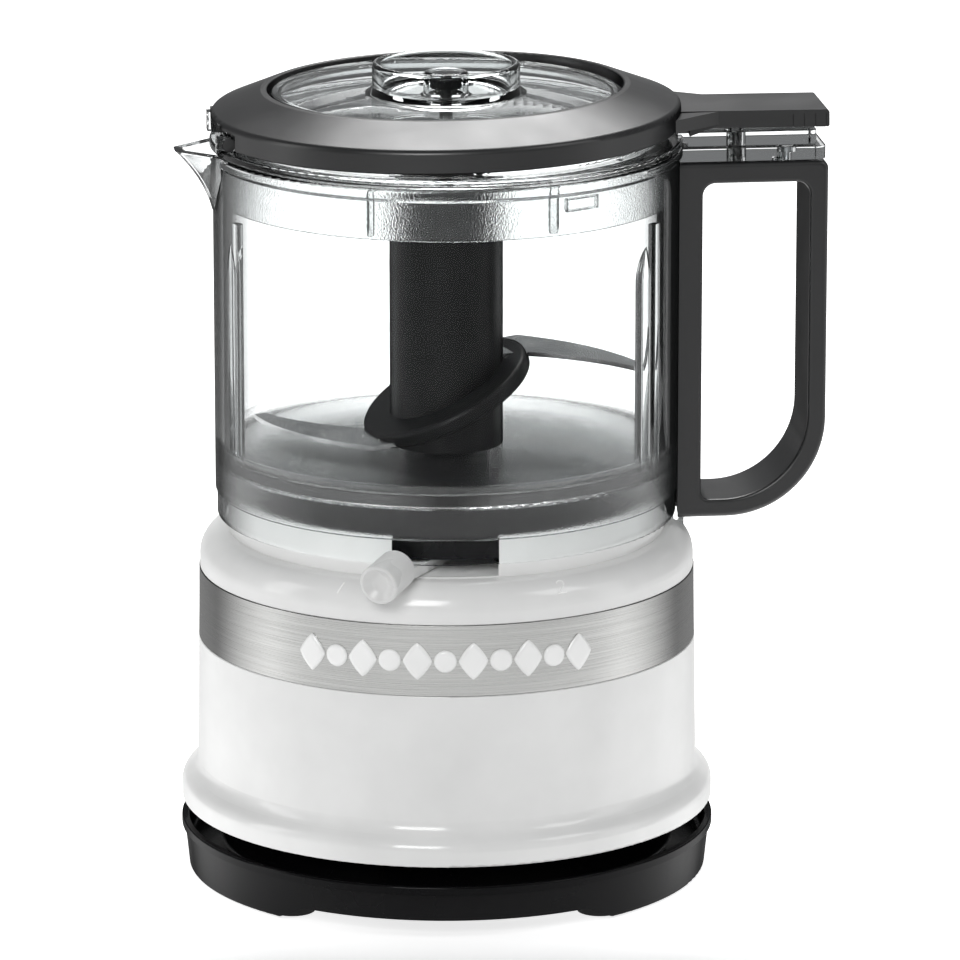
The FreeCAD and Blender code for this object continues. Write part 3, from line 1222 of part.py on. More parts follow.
def make_bowl():
    body = new_body("bowl")
    inner = v.bowl_inner
    floor_bottom = v.bowl_floor_bottom
    foot_radius = v.bowl_radius - v.foot_step
    foot_top = v.bowl_bottom + v.foot_step_height
    revolve(body, [
        (inner - 0.2, v.bowl_bottom), (foot_radius, v.bowl_bottom, 0.6),
        (foot_radius, foot_top), (v.bowl_radius, foot_top + v.foot_step, 0.2),
        (v.bowl_radius, v.bowl_top - v.rim_height - 1), (v.bowl_rim_radius, v.bowl_top - v.rim_height, 0.4),
        (v.bowl_rim_radius, v.bowl_top, 0.6), (inner + 0.4, v.bowl_top, 0.4),
        (inner, v.bowl_top - 1.5), (inner, v.bowl_floor_top, 2),
        (v.chimney_radius, v.bowl_floor_top, 2), (v.chimney_radius - 0.4, v.chimney_top, 0.5),
        (v.chimney_bore, v.chimney_top, 0.3), (v.chimney_bore, floor_bottom),
        (inner - 0.2, floor_bottom, 1)])
    for angle in (v.rib_angle_left, v.rib_angle_right):
        add_rib(body, inner, angle)
    half, wall = v.spout_half_width, v.spout_wall
    root = v.bowl_radius - 1.2
    loft(body, "PartDesign::AdditiveLoft", [
        (v.spout_bottom, spout_outline(root, v.bowl_radius + 0.3, half * 0.35, 2.4)),
        (v.spout_bottom + 8, spout_outline(root, v.bowl_radius + 3.6, half * 0.7, 2.8)),
        (v.bowl_top, spout_outline(root, v.spout_reach, half, 3.4))])
    inside = v.bowl_radius - 4
    loft(body, "PartDesign::SubtractiveLoft", [
        (v.spout_bottom + 4, spout_outline(inside, v.bowl_radius - 0.6, half * 0.3, 1.4)),
        (v.spout_bottom + 9.5, spout_outline(inside, v.bowl_radius + 2.4, half * 0.62, 1.6)),
        (v.bowl_top + 0.5, spout_outline(inside, v.spout_reach - wall, half - wall - 0.4, 1.9))])
    add_bowl_tab(body)
    return keep(turn_with_handle(body))


def add_rib(body, wall_inner, angle):
    """Rounded vertical rib on the inside of the bowl's wall."""
    along, side = cosine(angle), sine(angle)
    half = v.rib_width / 2
    near, far = wall_inner - v.rib_depth, wall_inner + 0.8
    corners = []
    for station, across in ((near, -half), (far, -half), (far, half), (near, half)):
        corners.append((station * along - across * side, station * side + across * along))
    corners[0] = (*corners[0], 1.2)
    corners[3] = (*corners[3], 1.2)
    pad(body, v.rib_top - v.bowl_floor_top + 1, outlines=[corners], height=v.bowl_floor_top - 1)


def add_bowl_tab(body):
    """Flat tab from the rim over the handle, with holes for the presser and the screws."""
    low = v.tab_bottom
    half = v.handle_width / 2
    reach = v.tab_reach
    tab = [(v.bowl_radius - 1, -half), (reach, -half, v.tab_rounding), (reach, half, v.tab_rounding),
           (v.bowl_radius - 1, half)]
    pad(body, v.tab_thickness, outlines=[tab], height=low)
    presser_hole = [(v.presser_station, 0, v.presser_radius + v.presser_hole_gap)]
    pocket(body, 10, circles=presser_hole, height=low - 1)
    spots = handle_screw_spots()
    holes = [(*spot, v.thin_screw_radius + v.screw_gap) for spot in spots]
    pocket(body, 10, circles=holes, height=low - 1)
    sinks = [(*spot, v.handle_screw_head + v.slide_gap) for spot in spots]
    pocket(body, 5, circles=sinks, height=v.tab_top - 1.7)


def handle_screw_spots():
    """Centres of the two screws that hold the bowl's tab to the handle."""
    return [(v.handle_screw_station, side * v.handle_screw_half) for side in (-1, 1)]


def make_handle():
    """D-shaped grip with a groove for the actuator rod, open towards the bowl."""
    body = new_body("handle")
    outer, top, bottom = v.handle_reach, v.handle_top, v.handle_bottom
    bend = v.handle_bend
    root = v.bowl_radius - 3.5
    pad(body, v.handle_width, "XZ_Plane", [[
        (root, bottom), (outer, bottom, bend), (outer, top, v.handle_rounding + 1), (root, top)]],
        middle=True)
    soften(body, v.handle_rounding, lambda edge: handle_side_edge(edge, root.value))
    pocket(body, v.handle_width + 2, "XZ_Plane", [[
        (v.column_outer, v.handle_hole_bottom, 2.5), (v.grip_outer, v.handle_hole_bottom, bend - 4),
        (v.grip_outer, v.bar_bottom, v.hole_corner), (v.column_outer, v.bar_bottom, v.hole_corner)]],
        middle=True)
    soften(body, v.hole_rounding, handle_hole_edge)
    pocket(body, 200, circles=[(0, 0, v.bowl_radius + v.fit_gap)], height=0)
    groove_half = v.rod_half_width + v.slide_gap
    root_side = v.bowl_radius - 6
    groove = rectangle(root_side, v.rod_outer + v.slide_gap, -groove_half, groove_half)
    pocket(body, 200, outlines=[groove], height=0)
    channel_floor = v.bar_bottom + 1.1
    channel = rectangle(root_side, v.rod_arm_reach + v.slide_gap, -groove_half, groove_half)
    pocket(body, 20, outlines=[channel], height=channel_floor)
    pilot = [(*spot, v.thin_screw_radius + v.running_gap) for spot in handle_screw_spots()]
    pocket(body, 10, circles=pilot, height=v.bar_bottom + 1)
    peg_half = v.rod_window_half - 0.4
    peg = rectangle(v.rod_inner + 0.2, v.rod_outer + v.slide_gap + 0.6, -peg_half, peg_half)
    pad(body, v.spring_peg_height, outlines=[peg], height=v.spring_seat - v.spring_peg_height)
    return keep(turn_with_handle(body))


def handle_side_edge(edge, root):
    """Edges where the handle's flat sides meet its outline, away from the bowl."""
    half = v.handle_width.value / 2
    bounds = edge.BoundBox
    on_side = abs(abs(bounds.YMin) - half) < 1e-3 and bounds.YLength < 1e-3
    return on_side and bounds.XMax > root + 1


def handle_hole_edge(edge):
    """Edges where the grip's opening meets the handle's flat sides."""
    half = v.handle_width.value / 2
    bounds = edge.BoundBox
    on_side = abs(abs(bounds.YMin) - half) < 1e-3 and bounds.YLength < 1e-3
    inside = bounds.XMin > v.column_outer.value - 0.1 and bounds.XMax < v.grip_outer.value + 0.1
    return on_side and inside and bounds.ZMin > v.handle_hole_bottom.value - 0.1


def make_handle_screws():
    body = new_body("handle_screws")
    head_top = v.tab_top - 0.4
    spots = handle_screw_spots()
    heads = [(*spot, v.handle_screw_head) for spot in spots]
    pad(body, 1.3, circles=heads, height=head_top - 1.3)
    low = v.bar_bottom + 1.2
    shanks = [(*spot, v.thin_screw_radius) for spot in spots]
    pad(body, head_top - 0.5 - low, circles=shanks, height=low)
    return keep(turn_with_handle(body))


def make_actuator_rod():
    """Flat L-shaped slider: an arm under the presser, a leg to the button and a spring window."""
    body = new_body("actuator_rod")
    top = v.rod_top
    arm_bottom = top - v.rod_arm_thickness
    pad(body, v.rod_half_width * 2, "XZ_Plane", [[
        (v.rod_inner, v.rod_bottom), (v.rod_outer, v.rod_bottom), (v.rod_outer, arm_bottom),
        (v.rod_arm_reach, arm_bottom), (v.rod_arm_reach, top), (v.rod_inner, top)]], middle=True)
    window = rectangle(-v.rod_window_half, v.rod_window_half, v.rod_window_bottom, v.rod_window_top)
    pocket(body, 4 * v.rod_outer, "YZ_Plane", [window], middle=True)
    return keep(turn_with_handle(body))


def make_rod_spring():
    wire = 0.2
    station = (v.rod_inner + v.rod_outer).value / 2
    shape = coil(0.72, wire, v.spring_seat.value + wire, v.rod_window_top.value - wire, 14)
    return keep(stand_in_handle(coded("rod_spring", shape), station))


# ---------------------------------------------------------------- blade

def make_blade_hub():
    """Tall hollow hub over the chimney, a six-sided socket inside and a slanted collar outside."""
    inner = v.hub_radius - v.hub_wall
    web_bottom = v.chimney_top + 4 * v.slide_gap
    web_top = v.coupling_top + 4
    tube = cylinder("hub_tube", v.hub_radius, v.hub_top - v.hub_bottom, (0, 0, v.hub_bottom))
    collar = new_body("hub_collar")
    half = v.collar_thickness / 2
    foot = half + v.collar_foot
    revolve(collar, [
        (0, -foot), (v.hub_radius - 1, -foot), (v.collar_radius, -half, 1),
        (v.collar_radius, half, 1.2), (0, half)])
    tilt = Rotation(Vector(0, 1, 0), -v.collar_tilt.value)
    collar.Placement = Placement(Vector(0, 0, v.collar_height.value), tilt)
    outside = fuse("hub_outside", tube, collar)
    lower = cylinder("hub_lower_bore", inner, web_bottom - v.hub_bottom + 1, (0, 0, v.hub_bottom - 1))
    upper = cylinder("hub_upper_bore", inner, v.hub_top - web_top + 1, (0, 0, web_top))
    socket = primitive("Prism", "hub_socket", (0, 0, web_bottom - 1), None,
                       Circumradius=v.coupling_radius + v.slide_gap / cosine(30),
                       Height=v.coupling_top + 1.5 - web_bottom)
    socket.Polygon = 6
    hub = cut("blade_hub", outside, fuse("hub_inside", lower, upper, socket))
    return keep(turn_with_blade(hub))


def turn_with_blade(item):
    """Turn a piece of the blade so that its +X points along the root of the upper blade."""
    bind(item, Placement__Rotation__Angle=v.blade_angle)
    return item


def sickle():
    """Sickle blade lying on z = 0 with its root along +X: two arcs that meet in a blunt tip."""
    tip = v.blade_tip_radius.value
    root = v.hub_radius.value - v.hub_wall.value + 0.4
    tip_point = Vector(tip * 0.735, -tip * 0.678, 0)
    tip_inner = Vector(tip * 0.675, -tip * 0.675, 0)
    lead_start = Vector(tip * 0.49, tip * 0.19, 0)
    lead_middle = Vector(tip * 0.69, -tip * 0.19, 0)
    trail_start = Vector(tip * 0.36, -tip * 0.165, 0)
    trail_middle = Vector(tip * 0.53, -tip * 0.355, 0)
    root_high, root_low = Vector(root, 8, 0), Vector(root, -8, 0)
    edges = [
        Part.makeLine(root_low, root_high), Part.makeLine(root_high, lead_start),
        Part.Arc(lead_start, lead_middle, tip_point).toShape(),
        Part.makeLine(tip_point, tip_inner),
        Part.Arc(tip_inner, trail_middle, trail_start).toShape(),
        Part.makeLine(trail_start, root_low)]
    blank = Part.Face(Part.Wire(edges)).extrude(Vector(0, 0, v.blade_thickness.value))
    hub_hole = Part.makeCylinder(root + 1, 4, Vector(0, 0, -1))
    return blank.cut(hub_hole)


def make_blades():
    """Two sickle blades moulded into the hub, half a turn apart and at two heights."""
    root_angle = (v.blade_angle + v.blade_lead).value
    lower = coded("lower_blade", sickle())
    lower.Placement = Placement(Vector(0, 0, v.lower_blade_height.value),
                                Rotation(Vector(0, 0, 1), root_angle + 180))
    upper = coded("upper_blade", sickle())
    upper.Placement = Placement(Vector(0, 0, v.upper_blade_height.value),
                                Rotation(Vector(0, 0, 1), root_angle))
    keep(lower)
    return keep(upper)


def make_hub_cap():
    """Cap on the hub, with a slim pin and a round head that the lid's centre post steadies."""
    body = new_body("hub_cap")
    plug = v.hub_radius - v.hub_wall - v.fit_gap
    top = v.hub_top + v.hub_cap_thickness
    stem = v.hub_pin_stem
    head_bottom = v.hub_pin_top - 3
    revolve(body, [
        (0, v.hub_top - 3.5), (plug, v.hub_top - 3.5), (plug, v.hub_top), (v.hub_radius, v.hub_top),
        (v.hub_radius, top, 0.8), (stem, top + 0.6, 1), (stem, head_bottom),
        (v.hub_pin_radius, head_bottom, 0.3), (v.hub_pin_radius, v.hub_pin_top, 0.6),
        (0, v.hub_pin_top)])
    return keep(body)


# ---------------------------------------------------------------- lid

def make_lid():
    """Clear lid: a skirt inside the bowl, a flange on its rim, a raised disc and the basin."""
    body = new_body("lid")
    skirt_outer, thick = v.lid_skirt_radius, v.lid_thickness
    skirt_inner = skirt_outer - v.lid_skirt_wall
    flange_bottom = v.lid_flange_bottom
    flange_top, disc_top, disc = v.lid_flange_top, v.lid_disc_top, v.lid_disc_radius
    basin_inner = v.basin_radius - v.basin_wall
    post_inner = v.hub_pin_radius + v.pin_post_gap
    post_outer = post_inner + v.pin_post_wall
    post_top = v.hub_pin_top + v.pin_post_wall + 0.5
    revolve(body, [
        (skirt_inner, v.lid_skirt_bottom), (skirt_outer, v.lid_skirt_bottom, 0.4),
        (skirt_outer, flange_bottom), (v.lid_flange_radius, flange_bottom, 0.4),
        (v.lid_flange_radius, flange_top, 0.6), (disc + 8.3, flange_top, 1),
        (disc + 6.4, flange_top + 5.6, 2), (disc + 1.6, disc_top - 3.9, 0.8),
        (disc, disc_top - 3.4), (disc, disc_top, 1.2), (v.basin_foot_radius, disc_top - 0.5, 1),
        (v.basin_radius, disc_top + 0.9), (v.basin_radius, v.basin_top, 0.95),
        (basin_inner, v.basin_top, 0.95), (basin_inner - 0.4, v.basin_floor, 2.5),
        (post_outer, v.basin_floor, 1), (post_outer, post_top, 1.2), (0, post_top),
        (0, post_top - v.pin_post_wall), (post_inner, post_top - v.pin_post_wall),
        (post_inner, v.basin_floor - thick),
        (disc - 2.2, disc_top - 0.3 - thick, 1), (disc - 0.6, disc_top - 3.6 - thick, 0.8),
        (disc + 4.6, flange_top + 4.6, 2), (disc + 6.1, flange_bottom - 0.6, 1),
        (skirt_inner, flange_bottom - 0.6, 1)])
    add_lid_tab(body, flange_bottom)
    add_lid_ears(body)
    spots = [(side * v.drizzle_hole_across, v.drizzle_hole_along) for side in (-1, 1)]
    turned = [(*back_turned(*spot), v.drizzle_hole_radius) for spot in spots]
    pocket(body, thick + 2, circles=turned, height=v.basin_floor - thick - 1)
    return keep(turn_with_handle(body))


def back_turned(x, y):
    """A point given in the base's axes, in the axes of the bowl group."""
    along, side = cosine(v.handle_angle), sine(v.handle_angle)
    return x * along + y * side, y * along - x * side


def add_lid_tab(body, flange_bottom):
    """Narrow tab that the lever arm closes over, stepped down outside the bowl's rim."""
    half = v.lid_tab_half_width
    tab_end = v.arm_reach - v.arm_wall - 2 * v.slide_gap
    upper = [(v.lid_flange_radius - 2, -half), (tab_end, -half, 2), (tab_end, half, 2),
             (v.lid_flange_radius - 2, half)]
    pad(body, v.lid_tab_top - flange_bottom, outlines=[upper], height=flange_bottom)
    step = v.bowl_rim_radius + 0.6
    lower = [(step, -half), (tab_end, -half, 2), (tab_end, half, 2), (step, half)]
    low = v.tab_top + v.slide_gap
    pad(body, flange_bottom + 0.2 - low, outlines=[lower], height=low)
    presser_hole = [(v.presser_station, 0, v.presser_radius + v.presser_hole_gap)]
    pocket(body, 10, circles=presser_hole, height=low - 1)


def add_lid_ears(body):
    """Two ears beside the spout that hold the lever ring's pins."""
    station = v.hinge_station
    near = v.hinge_pin_inner + 5.4
    far = v.hinge_pin_outer + 0.4
    for side in (-1, 1):
        ends = (side * near, side * far) if side > 0 else (side * far, side * near)
        ear = rectangle(-station - 3.4, -station + 3.6, *ends)
        ear[0] = (*ear[0], 1)
        pad(body, v.hinge_height + 2.7 - v.lid_flange_top + 0.6, outlines=[ear],
            height=v.lid_flange_top - 0.6)
    hole = [(-station, v.hinge_height, v.hinge_pin_radius + v.running_gap)]
    pocket(body, 2 * far + 2, "XZ_Plane", circles=hole, middle=True)


def make_lever_ring():
    """Hinged ring over the lid with its finger arm, drawn pressed down and then lifted to rest."""
    body = new_body("lever_ring")
    outer, skirt = v.ring_radius, v.ring_skirt_wall
    revolve(body, [
        (outer - skirt, v.ring_bottom), (outer - 0.4, v.ring_bottom), (outer, v.ring_bottom + 0.4),
        (outer, v.ring_edge_top, 1.6),
        (v.ring_bore + 1.8, v.ring_bore_top - 0.2, 1.2), (v.ring_bore, v.ring_bore_top, 0.5),
        (v.ring_bore, v.ring_bore_top - 3.0), (v.ring_bore + 1.5, v.ring_bore_top - 3.2),
        (outer - skirt, v.ring_edge_top - 2.6, 1)])
    half = v.handle_width / 2
    arm = [(outer - 3, v.arm_start_bottom + 1.2), (outer + 1, v.arm_start_bottom),
           (v.arm_reach, v.arm_end_bottom, 0.6), (v.arm_reach, v.arm_end_top, 0.9),
           (outer - 3, v.arm_start_top)]
    pad(body, v.handle_width, "XZ_Plane", [arm], middle=True)
    for side in (-1, 1):
        web = [(outer - 4, side * (half - 1)), (outer + 9, side * (half - 0.05)),
               (outer - 4, side * (half + 10))]
        web = web if side > 0 else web[::-1]
        pad(body, v.arm_start_top - 0.4 - v.ring_bottom, outlines=[web], height=v.ring_bottom)
    trim_outside_ring(body, outer)
    cheek = [(outer + 1.2, v.bowl_top + 0.4), (outer + 9, v.arm_start_bottom + 0.4),
             (outer + 1.2, v.arm_start_bottom + 1)]
    pad(body, v.handle_width, "XZ_Plane", [cheek], middle=True)
    inner_half = half - v.arm_wall
    cavity = rectangle(outer - 12, v.arm_reach - v.arm_wall, -inner_half, inner_half)
    pocket(body, v.arm_ceiling - 190, outlines=[cavity], height=190)
    pad(body, v.arm_ceiling + 0.3 - presser_bottom(), circles=[(v.presser_station, 0, v.presser_radius)],
        height=presser_bottom())
    add_arm_grooves(body, half)
    add_hinge(body)
    lift = Rotation(Vector(0, 1, 0), -v.hinge_lift.value)
    hinge = Vector(-v.hinge_station.value, 0, v.hinge_height.value)
    to_handle = Placement(Vector(), Rotation(Vector(0, 0, 1), v.handle_angle.value))
    body.Placement = to_handle * Placement(hinge, lift) * Placement(-hinge, Rotation())
    return keep(body)


def trim_outside_ring(body, outer):
    """Clear the space under the ring's slope that the arm's root would fill."""
    pocket(body, 6.5, circles=[(0, 0, outer - v.ring_skirt_wall)], height=v.ring_bottom - 3)


def presser_bottom():
    """Lower end of the presser in the ring's own frame, so that it just clears the rod at rest."""
    lift = (v.presser_station + v.hinge_station) * sine(v.hinge_lift)
    return v.handle_top + v.running_gap - lift


def add_arm_grooves(body, half):
    """Four fine upright grooves in each side of the arm near its tip."""
    first = v.arm_reach - 10.1
    for side in (-1, 1):
        edges = sorted((side * (half.value - 0.35), side * (half.value + 1)))
        cuts = [rectangle(first + 3 * step, first + 3 * step + 0.4, *edges) for step in range(4)]
        pocket(body, v.arm_end_top - 0.9 - v.arm_end_bottom + 3, outlines=cuts,
               height=v.arm_end_bottom - 3)


def add_hinge(body):
    """Open the skirt over the spout, then add two lugs with their outward pins."""
    station = v.hinge_station
    gap = v.ring_gap_half_width
    opening = rectangle(-v.ring_radius - 4, -station + 9, -gap, gap)
    pocket(body, v.hinge_height + 3.5 - v.ring_bottom + 2, outlines=[opening], height=v.ring_bottom - 2)
    pin = [(-station, v.hinge_height, v.hinge_pin_radius)]
    pad(body, 2 * v.hinge_pin_outer, "XZ_Plane", circles=pin, middle=True)
    lug_outer = v.hinge_pin_inner + 5
    for side in (-1, 1):
        ends = sorted((side * v.hinge_pin_inner.value, side * lug_outer.value))
        lug = rectangle(-station - 2.6, -station + 2.6, *ends)
        pad(body, v.hinge_height + 4.6 - v.lid_flange_top - 0.4, outlines=[lug],
            height=v.lid_flange_top + 0.4)
    between = rectangle(-station - 3, -station + 3, -v.hinge_pin_inner, v.hinge_pin_inner)
    pocket(body, 2 * v.hinge_pin_radius + 0.2, outlines=[between],
           height=v.hinge_height - v.hinge_pin_radius - 0.1)


# ---------------------------------------------------------------- assembly

def build_all():
    for make in (
            make_base_pan, make_rubber_feet, make_base_screws, make_cord_bush, make_motor_housing,
            make_trim_band, make_badge, make_drive_deck, make_deck_screws, make_shaft_seal,
            make_speed_lever, make_lever_knob, make_speed_switch, make_circuit_board,
            make_board_components, make_microswitch, make_switch_bracket, make_switch_button,
            make_button_spring, make_motor_can, make_motor_end_cap, make_magnets,
            make_armature_core, make_armature_windings, make_commutator, make_motor_shaft,
            make_cooling_fan, make_brushes, make_pinion, make_drive_gear, make_gearbox_housing,
            make_gearbox_cover, make_gearbox_screws, make_motor_screws, make_drive_shaft,
            make_drive_coupling, make_bowl, make_handle, make_handle_screws, make_actuator_rod,
            make_rod_spring, make_blade_hub, make_blades, make_hub_cap, make_lid, make_lever_ring):
        make()
    make_bush("lower_bush", v.gearbox_floor - v.bush_seat, v.gearbox_floor_thickness + v.bush_seat)
    make_bush("upper_bush", v.gearbox_top, v.upper_bush_length)


def check_document():
    """Stop on a failed object or on a piece that is empty or not valid."""
    doc.recompute()
    for item in doc.Objects:
        if any(state in ("Invalid", "Error") for state in item.State):
            raise RuntimeError(f"{item.Label} did not recompute: {item.State}")
    for node in NODES:
        if node.Shape.isNull() or not node.Shape.isValid() or not node.Shape.Solids:
            raise RuntimeError(f"{node.Label} has no valid solid")


def export_nodes():
    """Write every node in one frame: its origin is the middle of the whole box's underside."""
    whole = Part.makeCompound([node.Shape for node in NODES]).optimalBoundingBox(False, False)
    shift = Vector(-whole.Center.x, -whole.Center.y, -whole.ZMin)
    os.makedirs("parts", exist_ok=True)
    for node in NODES:
        node.Shape.translated(shift).exportStep(f"parts/{node.Label}.step")


build_all()
check_document()
export_nodes()
print(len(NODES), "nodes written")
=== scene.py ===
import json
import math

import bpy
import numpy as np
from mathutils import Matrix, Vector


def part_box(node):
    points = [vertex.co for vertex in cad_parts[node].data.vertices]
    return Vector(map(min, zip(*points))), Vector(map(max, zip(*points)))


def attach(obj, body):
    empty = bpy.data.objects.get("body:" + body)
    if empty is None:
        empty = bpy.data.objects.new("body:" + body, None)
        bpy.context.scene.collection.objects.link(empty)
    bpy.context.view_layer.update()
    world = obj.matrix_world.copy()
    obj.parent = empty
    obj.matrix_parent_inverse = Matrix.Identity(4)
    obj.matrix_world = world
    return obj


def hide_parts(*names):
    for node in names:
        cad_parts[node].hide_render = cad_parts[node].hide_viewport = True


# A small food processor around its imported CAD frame. Sizes here are written in millimetres
# and turned to metres by MM. +Z is up, the speed lever faces -Y, and the handle points along
# +X, turned a little to the back. The motor base, bowl and blades share one upright axis.

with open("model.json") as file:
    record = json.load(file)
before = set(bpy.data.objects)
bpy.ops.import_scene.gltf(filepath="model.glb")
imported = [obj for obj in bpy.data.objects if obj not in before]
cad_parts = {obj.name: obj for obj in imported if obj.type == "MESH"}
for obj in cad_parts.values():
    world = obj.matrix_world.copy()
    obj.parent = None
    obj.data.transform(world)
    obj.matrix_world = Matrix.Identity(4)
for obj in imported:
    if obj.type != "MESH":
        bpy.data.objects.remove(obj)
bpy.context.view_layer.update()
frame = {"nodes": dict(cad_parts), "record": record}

MM = 0.001
band_low, band_high = (np.array(corner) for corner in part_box("trim_band"))
AXIS = (band_low + band_high) / 2 * (1, 1, 0)


# ------------------------------------------------------------------ camera, lamps and stage

def place(data, spot_mm, turn_degrees=(0, 0, 0)):
    """A camera or lamp at a spot measured from the foot of the axis, turned by three angles."""
    item = bpy.data.objects.new(data.name, data)
    bpy.context.scene.collection.objects.link(item)
    item.location = AXIS + np.array(spot_mm, float) * MM
    item.rotation_euler = np.radians(turn_degrees)
    return item


def set_camera():
    lens = bpy.data.cameras.new("product_camera")
    lens.lens, lens.sensor_width = 261.9, 36.0
    lens.clip_start, lens.clip_end = 0.05, 60.0
    bpy.context.scene.camera = place(lens, (9.1, -1836.0, 572.7), (75.78, 0, 0))


def softbox(name, spot_mm, aim_mm, size_mm, watts):
    """A rectangular lamp at a spot, facing a point."""
    lamp = bpy.data.lights.new(name, "AREA")
    lamp.shape = "RECTANGLE"
    lamp.size, lamp.size_y = size_mm[0] * MM, size_mm[1] * MM
    lamp.energy = watts
    x, y, z = np.array(aim_mm, float) - np.array(spot_mm, float)
    lean = math.degrees(math.atan2(math.hypot(x, y), -z))
    heading = math.degrees(math.atan2(y, x)) - 90
    return place(lamp, spot_mm, (lean, 0, heading))


def set_lights():
    scene = bpy.context.scene
    scene.view_settings.view_transform = "Standard"
    world = bpy.data.worlds.new("studio_air")
    scene.world = world
    world.use_nodes = True
    tree = world.node_tree
    tree.nodes.clear()
    air = add(tree, "ShaderNodeBackground", {"Color": linear("F2F4F6"), "Strength": 0.22})
    add(tree, "ShaderNodeOutputWorld", {"Surface": air.outputs["Background"]})
    softbox("overhead_softbox", (60, 760, 1180), (0, 0, 150), (700, 620), 13)
    softbox("left_softbox", (-1150, -150, 450), (0, 0, 110), (330, 900), 2.3)
    softbox("right_softbox", (1150, -200, 450), (0, 0, 110), (400, 900), 1.1)
    softbox("high_right_softbox", (850, -450, 950), (0, 0, 110), (450, 450), 1.8)
    softbox("front_softbox", (-330, -1500, 900), (0, 0, 90), (620, 620), 11)


def set_stage():
    """A wide table of white acrylic, lit from below in a strip that runs back from the object.

    The light starts under the object, and fades to the sides of the strip.
    """
    far, front, full, strip_half, strip_fade = 9.0, 0.13, 0.04, 0.17, 0.42
    table, tree = new_finish("lit_white_acrylic")
    where = add(tree, "ShaderNodeTexCoord").outputs["Object"]
    patch = add(tree, "ShaderNodeTexNoise", {"Vector": where, "Scale": 1 / (60 * MM)}).outputs["Fac"]
    white = add(tree, "ShaderNodeMix", {"Factor": patch, 6: linear("ECECEC"), 7: linear("F2F2F2")},
                data_type="RGBA").outputs[2]
    spot = add(tree, "ShaderNodeSeparateXYZ", {"Vector": where})
    back = add(tree, "ShaderNodeMapRange", {
        "Value": spot.outputs["Y"], "From Min": AXIS[1] - front, "From Max": AXIS[1] - full,
        "To Max": 0.85}, interpolation_type="SMOOTHSTEP").outputs["Result"]
    aside = add(tree, "ShaderNodeMath", {0: spot.outputs["X"], 1: AXIS[0]},
                operation="SUBTRACT").outputs[0]
    off = add(tree, "ShaderNodeMath", {0: aside}, operation="ABSOLUTE").outputs[0]
    strip = add(tree, "ShaderNodeMapRange", {
        "Value": off, "From Min": strip_half, "From Max": strip_fade, "To Min": 1.0, "To Max": 0.15},
        interpolation_type="SMOOTHSTEP").outputs["Result"]
    lit = add(tree, "ShaderNodeMath", {0: back, 1: strip}, operation="MULTIPLY").outputs[0]
    shader = add(tree, "ShaderNodeBsdfPrincipled", {
        "Base Color": white, "Roughness": 0.9, "Specular IOR Level": 0.1,
        "Emission Color": linear("FFFFFF"), "Emission Strength": lit})
    add(tree, "ShaderNodeOutputMaterial", {"Surface": shader.outputs["BSDF"]})
    corners = [(-far, -far, 0), (far, -far, 0), (far, far, 0), (-far, far, 0)]
    mesh = bpy.data.meshes.new("table")
    mesh.from_pydata(corners, [], [(0, 1, 2, 3)])
    mesh.materials.append(table)
    top = bpy.data.objects.new("table", mesh)
    bpy.context.scene.collection.objects.link(top)


# ------------------------------------------------------------------ materials

def linear(hex_colour):
    """An sRGB hex colour as linear red, green, blue and alpha."""
    part = np.array([int(hex_colour[i:i + 2], 16) for i in (0, 2, 4)]) / 255
    curve = np.where(part <= 0.04045, part / 12.92, ((part + 0.055) / 1.055) ** 2.4)
    return (*curve.tolist(), 1.0)


def add(tree, kind, sockets=None, **settings):
    """Add a node, set its properties, then fill its sockets: an output is linked, a value set."""
    node = tree.nodes.new(kind)
    for name, value in settings.items():
        setattr(node, name, value)
    for name, value in (sockets or {}).items():
        if isinstance(value, bpy.types.NodeSocket):
            tree.links.new(value, node.inputs[name])
        else:
            node.inputs[name].default_value = value
    return node


def new_finish(name):
    """An empty material and its tree."""
    finish = bpy.data.materials.new(name)
    finish.use_nodes = True
    finish.node_tree.nodes.clear()
    return finish, finish.node_tree


def low_angle(tree, start, end, most):
    """0 where a face looks at the eye, rising to the most where it turns away."""
    turned = add(tree, "ShaderNodeLayerWeight", {"Blend": 0.5}).outputs["Facing"]
    return add(tree, "ShaderNodeMapRange", {
        "Value": turned, "From Min": start, "From Max": end, "To Max": most},
        interpolation_type="SMOOTHSTEP").outputs["Result"]


def on_walls(tree, value, on_flats):
    """The value on upright faces, and the share on_flats of it where a face points up or down."""
    facing = add(tree, "ShaderNodeNewGeometry").outputs["Normal"]
    slope = add(tree, "ShaderNodeSeparateXYZ", {"Vector": facing}).outputs["Z"]
    flat = add(tree, "ShaderNodeMath", {0: slope}, operation="ABSOLUTE").outputs[0]
    share = add(tree, "ShaderNodeMapRange", {
        "Value": flat, "From Min": 0.3, "From Max": 0.8, "To Min": 1.0,
        "To Max": on_flats}).outputs["Result"]
    return add(tree, "ShaderNodeMath", {0: value, 1: share}, operation="MULTIPLY").outputs[0]


